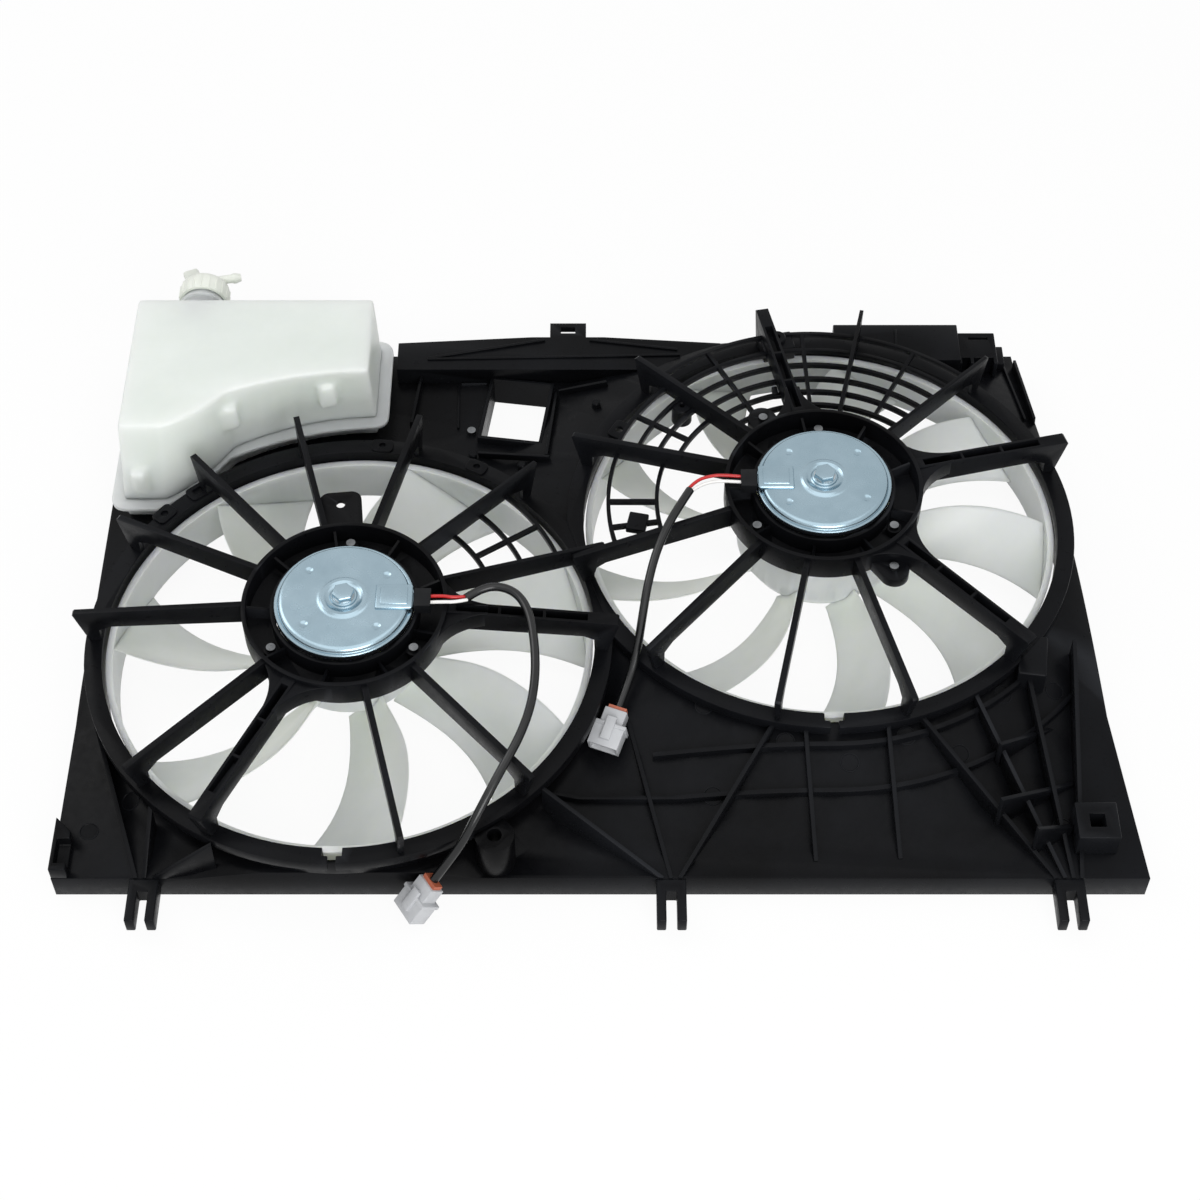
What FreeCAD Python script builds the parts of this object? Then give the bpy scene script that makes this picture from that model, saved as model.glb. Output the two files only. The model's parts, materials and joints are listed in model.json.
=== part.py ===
import FreeCAD
import Part
import Sketcher
import math
import os

Vector = FreeCAD.Vector

doc = FreeCAD.newDocument("RadiatorCoolingFans")
sheet = doc.addObject("Spreadsheet::Sheet", "Size")

# Driving sizes in millimetres. The part lies on its radiator side: X along the
# radiator, Y towards its top tank, Z out of the shroud towards the engine.
sizes = {
    # shroud panel
    "half_width": 388,
    "half_depth": 290,
    "foot_reach": 34,
    "cap_rise": 40,
    "panel_taper": 44,
    "plate_top": 22,
    "wall": 3,
    "left_cowl_top": 30,
    "left_cowl_reach": 18,
    "right_cowl_top": 48,
    "right_cowl_reach": 70,
    # fan openings
    "left_fan_x": -186,
    "left_fan_y": -72,
    "right_fan_x": 169,
    "right_fan_y": 42,
    "ring_bore": 182,
    "ring_top": 60,
    "flange_width": 13,
    "notch_width": 14,
    "notch_stem": 6,
    "notch_depth": 16,
    "lip_height": 9,
    "seat_gap": 0.3,
    # motor mounts
    "cup_radius": 75,
    "cup_top": 103,
    "cup_floor": 82,
    "collar_bore": 51.3,
    "collar_top": 100,
    "cup_ribs": 9,
    "screw_circle": 62,
    "boss_radius": 5.5,
    "boss_top": 92,
    "screw_radius": 2.7,
    "screw_shank": 2.5,
    "screw_head": 3.4,
    "cup_rib_thick": 2,
    "left_ear_width": 32,
    "left_ear_reach": 41,
    "left_ear_hole": 29,
    "left_ear_bore": 3.5,
    "left_ear_thick": 3,
    "right_ear_width": 22,
    "right_ear_reach": 24,
    "right_ear_hole": 12,
    "right_ear_bore": 2.7,
    "right_ear_thick": 8,
    "ear_top": 90,
    # spokes
    "arm_thick": 4.5,
    "thin_arm_thick": 3,
    "channel_width": 10,
    "channel_wall": 2,
    "tip_reach": 5,
    "arm_top_inner": 101,
    "arm_top_outer": 91,
    "arm_drop_inner": 19,
    "arm_drop_outer": 15,
    "leg_width": 9,
    "leg_inset": 3,
    "channel_bays": 3,
    "guard_low": 78,
    "guard_height": 4,
    "guard_thick": 3,
    # motors
    "can_radius": 49,
    "can_wall": 2,
    "can_front": 40,
    "can_flange_radius": 51,
    "can_flange_top": 103.5,
    "plate_rise": 108.6,
    "plate_radius": 48,
    "plate_thick": 1.5,
    "bead_radius": 18,
    "bulge_length": 27,
    "bulge_width": 22,
    "bulge_rise": 2.4,
    "lug_thick": 3.5,
    "bearing_cup_top": 116,
    "bearing_cup_radius": 9.5,
    "shaft_radius": 4,
    "shaft_clearance": 0.04,
    "bearing_length": 7,
    "front_bearing_radius": 11,
    "magnet_thick": 5.5,
    "magnet_length": 40,
    "magnet_edge_angle": 6,
    "core_radius": 40.6,
    "core_length": 30,
    "commutator_radius": 13,
    "brush_gap": 0.3,
    # fans
    "fan_radius": 178,
    "fan_bottom": 15,
    "fan_top": 52,
    "fan_wall": 2.5,
    "left_hub_radius": 52.5,
    "right_hub_radius": 63,
    "left_nose_radius": 42,
    "right_nose_radius": 57,
    "hub_shoulder": 38,
    "hub_face": 24,
    "hub_top": 71,
    "left_blades": 7,
    "right_blades": 9,
    "left_root_chord": 44,
    "left_tip_chord": 86,
    "right_root_chord": 32,
    "right_tip_chord": 62,
    "blade_thick": 2.4,
    "nut_flats": 13,
    "nut_length": 7,
    # reservoir
    "tank_margin": 4,
    "tank_length": 213,
    "rim_gap": 2,
    "tank_near_left": 66,
    "tank_near_right": 153,
    "tank_slope": 18,
    "tank_top": 110,
    "tank_base": 39,
    "tank_flange": 4,
    "tank_wall": 2.4,
    "neck_x": -324,
    "neck_z": 84,
    "neck_radius": 17,
    "neck_bore": 14,
    "cap_depth": 28,
    "cap_radius": 20,
    "cap_skirt": 12,
    "cap_clearance": 0.3,
    # window and small fittings
    "window_x": -69,
    "window_y": 184,
    "window_width": 47,
    "window_length": 62,
    "window_turn": -8,
    "panel_screw_x": -105,
    "panel_screw_y": 165,
    "foot_width": 21,
    "foot_slot": 7.6,
    "foot_prong": 24,
    "foot_low": 8,
    "left_foot_inset": 66,
    "foot_middle_x": 50,
    "right_foot_inset": 57,
    "rib_thick": 3,
    "rib_height": 6,
    "arc_rib_inner": 202,
    "arc_rib_outer": 234,
    "arc_rib_run": 95,
    "band_top": 38,
    "band_depth": 30,
    "band_left": -168,
    "band_right": 100,
    "peak": 7,
    "tab_x": -27,
    "tab_width": 30,
    "tab_reach": 16,
    "tab_slot_width": 12,
    "tab_slot_depth": 7,
    "cord_boss_x": -74,
    "cord_boss_y": -241,
    "cord_boss_radius": 14,
    "cord_boss_bore": 5,
    "cord_boss_top": 56,
    "clip_width": 12,
    "clip_length": 32,
    "box_inset": 36,
    "box_y": -221,
    "box_side": 30,
    "box_hole": 11,
    "box_top": 44,
    "duct_length": 152,
    "duct_depth": 40,
    "duct_box_length": 102,
    "duct_block_length": 32,
    "duct_block_top": 50,
    "duct_step_top": 34,
    "duct_shelf_top": 27,
    "duct_shelf_width": 9,
    # leads
    "wire_diameter": 2.6,
    "wire_clearance": 0.15,
    "sleeve_diameter": 6.5,
    "plug_length": 12,
    "plug_width": 16,
    "plug_height": 9,
    "connector_length": 33,
    "connector_width": 25,
    "connector_height": 17,
    "seal_thick": 3,
}

# Places that follow from the sizes above.
derived = {
    "panel_front": "half_depth - foot_reach",
    "panel_back": "half_depth - cap_rise",
    "neck_end": "half_depth - cap_depth",
    "tank_back": "half_depth - cap_rise - rim_gap",
    "tank_left": "tank_margin - half_width",
    "tank_right": "tank_margin - half_width + tank_length",
    "foot_left_x": "left_foot_inset - half_width",
    "foot_right_x": "half_width - right_foot_inset",
    "box_x": "half_width - box_inset",
    "duct_left": "half_width - panel_taper - duct_length",
}

for row, (word, number) in enumerate(sizes.items(), 1):
    sheet.set("A%d" % row, str(number))
    sheet.setAlias("A%d" % row, word)
doc.recompute()
for row, (word, rule) in enumerate(derived.items(), 1):
    sheet.set("B%d" % row, "=" + rule)
    sheet.setAlias("B%d" % row, word)
doc.recompute()


scribe_point = doc.addObject("Part::Vertex", "scribe_point")


def value(text):
    """The number that an expression on the sheet gives."""
    return float(scribe_point.evalExpression(text))


def place(thing, x="0", y="0", z="0"):
    thing.setExpression(".Placement.Base.x", x)
    thing.setExpression(".Placement.Base.y", y)
    thing.setExpression(".Placement.Base.z", z)
    return thing


# Angles about each fan's axis, in degrees from X.
screw_angles = (90, 214, 326)
left_spoke_angles = (180, 153, 130, 105, 77, 47, 19, 358, 314, 284.5, 242.5, 223)
right_spoke_angles = (162.5, 134.5, 101, 77.5, 45.7, 16.3, 316, 286, 257.5, 227.5, 198)
channel_angles = (358, 242.5, 101, 16.3, 316)
thin_angles = (19, 47, 77.5, 45.7)
left_ear_angles = (96,)
right_ear_angles = (119, 304)
# Guard fields: radii of the arcs, start and end angle, angles of the cross strips.
left_guard_fields = [((110, 138, 165), 19, 47, (33,))]
right_guard_fields = [
    ((100, 114, 128, 143, 159, 177), 45.7, 134.5, (62, 92, 118)),
    ((118, 134, 150, 166), 134.5, 162.5, (148,)),
    ((126, 163), 162.5, 198, (180, 189)),
]
# Where the ribs from each foot end and how high, and the ribs that join others.
rib_ends = {
    "Size.foot_left_x": ((-366, -143, 57), (-317, -207, 57), (-271, -249, 57)),
    "Size.foot_middle_x": ((-45, -199, 57), (17, -115, 36), (128, -141, 57)),
    "Size.foot_right_x": ((232, -139, 57), (274, -122, 57), (313, -85, 57), (352, -72, 57)),
}
cross_ribs = (
    (148, -145, 153, -242),
    (208, -145, 213, -240),
    (287, -165, 343, -125),
    (283, -212, 345, -176),
    (306, -236, 346, -212),
)

# Routes of the leads, chosen by hand from motor to connector.
left_red_route = (
    (-132, -69.4, 105.5), (-115, -69.6, 107.6), (-106.5, -72, 107.9), (-98.5, -69.4, 106),
)
left_white_route = (
    (-132, -74.6, 105.5), (-114.6, -75.4, 107.6), (-104.8, -75.9, 107.9), (-96.5, -72.2, 106),
)
left_sleeve_route = (
    (-97.5, -70.8, 106), (-86.3, -62.4, 107.2), (-72.4, -61.2, 107.8), (-59.8, -68.5, 108),
    (-51.3, -84.4, 107.5), (-47.1, -110.1, 106), (-45.9, -138, 104.5), (-48.8, -165, 103.3),
    (-56.5, -190.5, 102), (-68.5, -214, 98), (-84, -239.5, 83), (-95.5, -251.5, 63),
    (-107, -258, 46), (-116.5, -264, 33.5),
)
right_red_route = (
    (115, 44.6, 105.5), (94, 45.6, 107.8), (81, 43.2, 108.6), (71.5, 38.5, 108.4), (65.8, 31, 108),
)
right_white_route = (
    (115, 39.4, 105.5), (95.2, 39.6, 107.8), (84, 37.9, 108.6), (75, 34.6, 108.4), (68.8, 29.4, 108),
)
right_sleeve_route = (
    (67.3, 30.2, 108), (58, 12.6, 108.5), (49, -5.5, 106.5), (40.6, -26, 101), (34.6, -49, 93),
    (30.6, -70.2, 80), (26.8, -90.7, 66.5), (20.5, -108.7, 53), (13.3, -127, 47.2),
)

ring_edge = "Size.ring_bore + Size.flange_width"
barrel_edge = "Size.ring_bore + Size.wall"
panel_outline = [
    ("-Size.half_width", "-Size.panel_front"),
    ("Size.half_width", "-Size.panel_front"),
    ("Size.half_width - Size.panel_taper", "Size.panel_back"),
    ("-Size.half_width", "Size.panel_back"),
]
panel_inner_outline = [
    ("-Size.half_width + Size.wall", "-Size.panel_front + Size.wall"),
    ("Size.half_width - Size.wall", "-Size.panel_front + Size.wall"),
    ("Size.half_width - Size.panel_taper - Size.wall", "Size.panel_back - Size.wall"),
    ("-Size.half_width + Size.wall", "Size.panel_back - Size.wall"),
]


def sketch_polygon(body, name, role, points):
    """A closed outline on one of the body's planes, each corner bound to the sheet."""
    plane = [item for item in body.Origin.OriginFeatures if item.Role == role][0]
    sketch = body.newObject("Sketcher::SketchObject", name)
    sketch.AttachmentSupport = [(plane, "")]
    sketch.MapMode = "FlatFace"
    corners = [(value(across), value(up)) for across, up in points]
    for index, (across, up) in enumerate(corners):
        end = corners[(index + 1) % len(corners)]
        sketch.addGeometry(Part.LineSegment(Vector(across, up, 0), Vector(end[0], end[1], 0)))
    for index in range(len(corners)):
        following = (index + 1) % len(corners)
        sketch.addConstraint(Sketcher.Constraint("Coincident", index, 2, following, 1))
    for index, (across, up) in enumerate(corners):
        reach = sketch.addConstraint(Sketcher.Constraint("DistanceX", -1, 1, index, 1, across))
        sketch.setExpression("Constraints[%d]" % reach, points[index][0])
        rise = sketch.addConstraint(Sketcher.Constraint("DistanceY", -1, 1, index, 1, up))
        sketch.setExpression("Constraints[%d]" % rise, points[index][1])
    return sketch


def turned(name, points):
    """A body turned about Z from its half section, given as radius and height."""
    body = doc.addObject("PartDesign::Body", name)
    sketch = sketch_polygon(body, name + "_section", "XZ_Plane", points)
    feature = body.newObject("PartDesign::Revolution", name + "_turn")
    feature.Profile = sketch
    feature.ReferenceAxis = (sketch, ["V_Axis"])
    feature.Angle = 360
    return body


def flat(name, points, thickness, lift="0"):
    """A body padded upwards from an outline in the X-Y plane."""
    body = doc.addObject("PartDesign::Body", name)
    sketch = sketch_polygon(body, name + "_outline", "XY_Plane", points)
    feature = body.newObject("PartDesign::Pad", name + "_pad")
    feature.Profile = sketch
    feature.setExpression("Length", thickness)
    return place(body, z=lift)


def upright(name, points, thickness):
    """A plate that stands in the X-Z plane, half its thickness on each side."""
    body = doc.addObject("PartDesign::Body", name)
    sketch = sketch_polygon(body, name + "_side", "XZ_Plane", points)
    feature = body.newObject("PartDesign::Pad", name + "_pad")
    feature.Profile = sketch
    feature.Midplane = True
    feature.setExpression("Length", thickness)
    return body


def cylinder(name, radius, height, x="0", y="0", z="0"):
    thing = doc.addObject("Part::Cylinder", name)
    thing.setExpression("Radius", radius)
    thing.setExpression("Height", height)
    return place(thing, x, y, z)


def cone(name, low_radius, high_radius, height, x="0", y="0", z="0"):
    thing = doc.addObject("Part::Cone", name)
    thing.setExpression("Radius1", low_radius)
    thing.setExpression("Radius2", high_radius)
    thing.setExpression("Height", height)
    return place(thing, x, y, z)


def block(name, length, width, height, x="0", y="0", z="0"):
    """A box whose X and Y are given for its middle and Z for its underside."""
    thing = doc.addObject("Part::Box", name)
    thing.setExpression("Length", length)
    thing.setExpression("Width", width)
    thing.setExpression("Height", height)
    return place(thing, "%s - (%s) / 2" % (x, length), "%s - (%s) / 2" % (y, width), z)


def fuse(name, things):
    thing = doc.addObject("Part::MultiFuse", name)
    thing.Shapes = things
    return thing


def common(name, things):
    thing = doc.addObject("Part::MultiCommon", name)
    thing.Shapes = things
    return thing


def cut(name, base, tool):
    thing = doc.addObject("Part::Cut", name)
    thing.Base = base
    thing.Tool = tool
    return thing


def solids(name, shapes):
    """A node of several separate solids."""
    thing = doc.addObject("Part::Feature", name)
    parts = [part for shape in shapes for part in shape.Solids]
    thing.Shape = parts[0] if len(parts) == 1 else Part.makeCompound(parts)
    return thing


def turned_copy(shape, degrees, x=0, y=0, z=0):
    copy = shape.copy()
    copy.rotate(Vector(0, 0, 0), Vector(0, 0, 1), degrees)
    copy.translate(Vector(x, y, z))
    return copy


def at_fan(side):
    return value("Size.%s_fan_x" % side), value("Size.%s_fan_y" % side)


def ring_low(side):
    """The height at which a fan ring stands on the panel."""
    return "Size.%s_cowl_top" % side


def make_panel():
    """The dished panel: rim, plate, a cone towards each fan and the ring bores."""
    outsides = [flat("panel_slab", panel_outline, "Size.plate_top")]
    insides = [flat("panel_hollow", panel_inner_outline, "Size.plate_top - Size.wall")]
    prism = flat("panel_prism", panel_outline, "Size.ring_top")
    inner_prism = flat("panel_inner_prism", panel_inner_outline, "Size.ring_top")
    bores = []
    for side in ("left", "right"):
        x = "Size.%s_fan_x" % side
        y = "Size.%s_fan_y" % side
        high = "%s + 2 * Size.wall" % barrel_edge
        low = "%s + Size.%s_cowl_reach" % (high, side)
        rise = "Size.%s_cowl_top - Size.plate_top" % side
        outer = cone(side + "_cowl", low, high, rise, x, y, "Size.plate_top")
        inner = cone(side + "_cowl_hollow", low, high, rise, x, y, "Size.plate_top - Size.wall")
        outsides.append(common(side + "_cowl_trimmed", [prism, outer]))
        insides.append(common(side + "_cowl_hollow_trimmed", [inner_prism, inner]))
        bores.append(cylinder(side + "_bore", "Size.ring_bore", "Size.ring_top", x, y))
        bores.append(cylinder(side + "_barrel_room", barrel_edge, "Size.ring_top", x, y,
                              ring_low(side)))
    window = block("window_cut", "Size.window_width + 2 * Size.wall",
                   "Size.window_length + 2 * Size.wall", "Size.ring_top")
    window_hole = doc.addObject("Part::Feature", "window_hole")
    doc.recompute()
    shape = turned_copy(window.Shape, value("Size.window_turn"),
                        value("Size.window_x"), value("Size.window_y"))
    window_hole.Shape = shape
    screw_hole = cylinder("panel_screw_hole", "Size.screw_shank", "Size.ring_top",
                          "Size.panel_screw_x", "Size.panel_screw_y")
    boss_hole = cylinder("panel_boss_hole", "Size.cord_boss_radius", "Size.ring_top",
                         "Size.cord_boss_x", "Size.cord_boss_y")
    body = fuse("panel_outside", outsides)
    hollow = fuse("panel_inside", insides + bores + [window_hole, screw_hole, boss_hole])
    return cut("shroud_panel", body, hollow), body


def past_middle(side):
    """The space past the plane midway between the two fans, seen from one of them."""
    here = Vector(*at_fan(side), 0)
    there = Vector(*at_fan("right" if side == "left" else "left"), 0)
    between = there - here
    edge = 2 * value("Size.ring_bore")
    space = Part.makeBox(edge, 2 * edge, edge, Vector(between.Length / 2, -edge, 0))
    thing = doc.addObject("Part::Feature", side + "_past_middle")
    thing.Shape = turned_copy(space, math.degrees(math.atan2(between.y, between.x)), here.x, here.y)
    return thing


def make_ring(side):
    """A barrel with a flange, a lip under its edge and the T-shaped balance notch."""
    low = ring_low(side)
    bore = "Size.ring_bore"
    top = "Size.ring_top"
    lip = "Size.ring_top - Size.lip_height"
    section = [
        (bore, low),
        (barrel_edge, low),
        (barrel_edge, top + " - Size.wall"),
        (ring_edge + " - Size.wall", top + " - Size.wall"),
        (ring_edge + " - Size.wall", lip),
        (ring_edge, lip),
        (ring_edge, top),
        (bore, top),
    ]
    ring = turned(side + "_ring_turned", section)
    notch = block(side + "_notch", "Size.notch_width", "Size.flange_width", "Size.notch_depth",
                  y="-Size.ring_bore", z="Size.ring_top - Size.notch_depth")
    stem = block(side + "_notch_stem", "Size.notch_stem", "2 * Size.flange_width + Size.wall",
                 "Size.notch_depth", y="-Size.ring_bore - Size.flange_width / 2",
                 z="Size.ring_top - Size.notch_depth")
    notched = cut(side + "_ring_notched", ring, fuse(side + "_notches", [notch, stem]))
    place(notched, "Size.%s_fan_x" % side, "Size.%s_fan_y" % side)
    return cut(side + "_ring", notched, past_middle(side))


def make_cup(side, tab_angles):
    """The motor mount: floor, rim wall, collar round the can, ribs and screw bosses."""
    floor = "Size.cup_floor + Size.wall"
    collar = "Size.collar_bore + Size.wall"
    section = [
        ("Size.collar_bore", "Size.cup_floor"),
        ("Size.cup_radius", "Size.cup_floor"),
        ("Size.cup_radius", "Size.cup_top"),
        ("Size.cup_radius - Size.wall", "Size.cup_top"),
        ("Size.cup_radius - Size.wall", floor),
        (collar, floor),
        (collar, "Size.collar_top"),
        ("Size.collar_bore", "Size.collar_top"),
    ]
    cup = turned(side + "_cup_turned", section)
    rib = upright(side + "_cup_rib", [
        (collar, floor),
        ("Size.cup_radius - Size.wall", floor),
        ("Size.cup_radius - Size.wall", "Size.cup_top - 2 * Size.wall"),
        (collar, "Size.collar_top - 2 * Size.wall"),
    ], "Size.cup_rib_thick")
    boss = cylinder(side + "_boss", "Size.boss_radius", "Size.boss_top - Size.cup_floor",
                    "Size.screw_circle", z="Size.cup_floor")
    bore = cylinder(side + "_boss_bore", "Size.screw_radius", "Size.cup_top",
                    "Size.screw_circle")
    tab = make_tab(side)
    doc.recompute()
    count = int(value("Size.cup_ribs"))
    shape = cup.Shape.copy()
    added = [turned_copy(rib.Shape, 360 / count * (index + 0.5)) for index in range(count)]
    added += [turned_copy(boss.Shape, angle) for angle in screw_angles]
    added += [turned_copy(tab.Shape, angle) for angle in tab_angles]
    shape = shape.fuse(added)
    shape = shape.cut([turned_copy(bore.Shape, angle) for angle in screw_angles])
    shape = shape.removeSplitter()
    x, y = at_fan(side)
    return solids(side + "_motor_mount", [turned_copy(shape, 0, x, y)])


def make_tab(side):
    """A round-ended ear with a screw hole on the outside of a motor mount."""
    width = "Size.%s_ear_width" % side
    thick = "Size.%s_ear_thick" % side
    tip = "Size.cup_radius + Size.%s_ear_reach" % side
    root = "Size.cup_radius - Size.wall"
    round_radius = width + " / 2" if side == "right" else width + " / 4"
    centre = "%s - %s" % (tip, round_radius)
    low = "Size.ear_top - " + thick
    pieces = [block(side + "_ear_root", "%s - (%s)" % (centre, root), width, thick,
                    "(%s + %s) / 2" % (centre, root), z=low)]
    offset = "%s / 2 - %s" % (width, round_radius)
    pieces.append(cylinder(side + "_ear_end", round_radius, thick, centre, offset, low))
    if side == "left":
        pieces.append(cylinder(side + "_ear_other_end", round_radius, thick, centre,
                               "-(%s)" % offset, low))
        pieces.append(block(side + "_ear_edge", round_radius, "%s - 2 * %s" % (width, round_radius),
                            thick, "%s + %s / 2" % (centre, round_radius), z=low))
    hole = cylinder(side + "_ear_drill", "Size.%s_ear_bore" % side, "Size.ring_top",
                    "Size.cup_radius + Size.%s_ear_hole" % side, z="Size.cup_floor - Size.wall")
    return cut(side + "_ear_drilled", fuse(side + "_ear", pieces), hole)


def make_arm(name, width, channelled):
    """One spoke: an arm that thins outwards to its pointed tip, with a leg down to the ring."""
    leg_out = ring_edge + " - Size.leg_inset"
    leg_in = leg_out + " - Size.leg_width"
    tip = ring_edge + " + Size.tip_reach"
    low_inner = "Size.arm_top_inner - Size.arm_drop_inner"
    low_outer = "Size.arm_top_outer - Size.arm_drop_outer"
    side = [
        ("Size.cup_radius - Size.wall / 2", low_inner),
        (leg_in + " - Size.leg_width", low_outer),
        (leg_in, low_outer + " - Size.leg_width / 2"),
        (leg_in, "Size.ring_top"),
        (leg_out, "Size.ring_top"),
        (tip, "Size.arm_top_outer - Size.wall / 2"),
        (tip + " - Size.wall / 2", "Size.arm_top_outer"),
        ("Size.cup_radius - Size.wall / 2", "Size.arm_top_inner"),
    ]
    arm = upright(name, side, width)
    if not channelled:
        return arm
    tools = []
    start = "Size.cup_radius + 2 * Size.wall"
    step = "(Size.ring_bore - Size.cup_radius - 3 * Size.wall) / Size.channel_bays"
    for bay in range(int(value("Size.channel_bays"))):
        near = "%s + %d * %s" % (start, bay, step)
        far = "%s + %d * %s - Size.cup_rib_thick" % (start, bay + 1, step)
        tools.append(upright("%s_bay_%d" % (name, bay), [
            (near, low_inner + " + Size.wall"),
            (far, low_inner + " + Size.wall"),
            (far, "Size.cup_top"),
            (near, "Size.cup_top"),
        ], width + " - 2 * Size.channel_wall"))
    return cut(name + "_channelled", arm, fuse(name + "_bays", tools))


def make_spokes(side, angles, channels):
    """All spokes of one fan opening, each a separate solid on its own angle."""
    doc.recompute()
    x, y = at_fan(side)
    made = [doc.getObject(side + "_motor_mount").Shape]
    if side == "right":
        made.append(doc.getObject("left_spokes").Shape)
    shapes = []
    for angle in angles:
        arm = channel_arm if angle in channels else thin_arm if angle in thin_angles else plain_arm
        shape = turned_copy(arm.Shape, angle, x, y).cut(made)
        shapes.append(max(shape.Solids, key=lambda part: part.Volume))
    return solids(side + "_spokes", shapes)


def arc_strip(radius, width, low, high, start, end):
    """A thin curved strip about Z from one angle to another."""
    outer = Part.makeCylinder(radius + width / 2, high - low, Vector(0, 0, low),
                              Vector(0, 0, 1), end - start)
    inner = Part.makeCylinder(radius - width / 2, high - low, Vector(0, 0, low),
                              Vector(0, 0, 1), end - start)
    return turned_copy(outer.cut(inner), start)


def radial_strip(angle, inner, outer, width, low, high):
    strip = Part.makeBox(outer - inner, width, high - low, Vector(inner, -width / 2, low))
    return turned_copy(strip, angle)


def make_guard(side, fields):
    """Finger guards between the spokes: fields of arcs crossed by radial strips."""
    low = value("Size.guard_low")
    high = low + value("Size.guard_height")
    thick = value("Size.guard_thick")
    pieces = []
    for radii, start, end, crossings in fields:
        strips = [arc_strip(radius, thick, low, high, start, end) for radius in radii]
        half = thick / 2
        for angle in crossings:
            strips.append(radial_strip(angle, min(radii) - half, max(radii) + half, thick, low, high))
        pieces.append(strips[0].fuse(strips[1:]))
    x, y = at_fan(side)
    guard = pieces[0].fuse(pieces[1:]) if len(pieces) > 1 else pieces[0]
    guard = turned_copy(guard, 0, x, y)
    guard = guard.cut(doc.getObject(side + "_spokes").Shape)
    big = [part for part in guard.Solids if part.Volume > thick ** 3 * 4]
    return solids(side + "_guard", big)


def make_ribs(panel_body):
    """Panel ribs: straight ones from the feet and bent ones round the right opening."""
    doc.recompute()
    low = value("Size.wall")
    tall = value("Size.rib_height")
    thick = value("Size.rib_thick")
    ceiling = value("Size.ring_top") - value("Size.wall")
    plate = value("Size.plate_top")
    keep_out = []
    for side in ("left", "right"):
        x, y = at_fan(side)
        keep_out.append(Part.makeCylinder(value(ring_edge), ceiling * 2, Vector(x, y, 0)))
    keep_out.append(doc.getObject("socket_body").Shape)
    front = -value("Size.panel_front")
    straight = []
    for foot_word, ends in rib_ends.items():
        foot = value(foot_word)
        for index, (end_x, end_y, tip_top) in enumerate(ends):
            root = Vector(foot + (index - (len(ends) - 1) / 2) * 2 * thick, front, 0)
            straight.append(slanted_rib(root, Vector(end_x, end_y, 0), thick, low,
                                        plate + 1, tip_top))
    for start_x, start_y, end_x, end_y in cross_ribs:
        straight.append(slanted_rib(Vector(end_x, end_y, 0), Vector(start_x, start_y, 0), thick,
                                    low, plate + 1, ceiling))
    blocked = panel_body.Shape.fuse(keep_out)
    shapes = []
    done = None
    prism = doc.getObject("panel_prism").Shape
    for rib in straight:
        rib = rib.common(prism)
        rest = rib.cut(blocked) if done is None else rib.cut(blocked.fuse(done))
        done = rib if done is None else done.fuse(rib)
        shapes.append(rest)
    x, y = at_fan("right")
    raised = raised_copy(panel_body, tall)
    run_start = value("Size.foot_middle_x")
    for radius, run_left in ((value("Size.arc_rib_inner"), run_start - 2 * tall),
                             (value("Size.arc_rib_outer"), run_start - value("Size.arc_rib_run"))):
        bend = turned_copy(arc_strip(radius, thick, low, ceiling, -90, -40), 0, x, y)
        run = Part.makeBox(x - run_left, thick, ceiling - low,
                           Vector(run_left, y - radius - thick / 2, low))
        rib = bend.fuse(run).common(raised)
        shapes.append(rib.cut(blocked.fuse(done)))
    kept = [part for shape in shapes for part in shape.Solids if part.Volume > thick ** 3 * 3]
    return solids("panel_ribs", kept)


def raised_copy(thing, lift):
    """The panel's outside, moved up: what lies above it is above the rib tops."""
    copy = thing.Shape.copy()
    copy.translate(Vector(0, 0, lift))
    return copy


def slanted_rib(root, tip, thick, low, root_top, tip_top):
    """A rib that stands on the panel and rises from its root to its tip."""
    along = tip - root
    length = along.Length
    side = Part.makePolygon([Vector(0, 0, low), Vector(length, 0, low),
                             Vector(length, 0, tip_top), Vector(0, 0, root_top),
                             Vector(0, 0, low)])
    rib = Part.Face(side).extrude(Vector(0, thick, 0))
    rib.translate(Vector(0, -thick / 2, 0))
    return turned_copy(rib, math.degrees(math.atan2(along.y, along.x)), root.x, root.y)


def make_feet():
    """Three forked feet that stand out of the lower edge."""
    shapes = []
    front = "-Size.panel_front"
    tip = "-Size.half_depth"
    half = "Size.foot_width / 2"
    slot = "Size.foot_slot / 2"
    crotch = "-Size.half_depth + Size.foot_prong"
    fork = flat("fork_foot", [
        ("-" + half, front), ("-" + half, tip), ("-" + slot, tip), ("-" + slot, crotch),
        (slot, crotch), (slot, tip), (half, tip), (half, front),
    ], "Size.plate_top - Size.foot_low", "Size.foot_low")
    doc.recompute()
    for word in rib_ends:
        shapes.append(turned_copy(fork.Shape, 0, value(word)))
    return solids("fork_feet", shapes)


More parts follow.
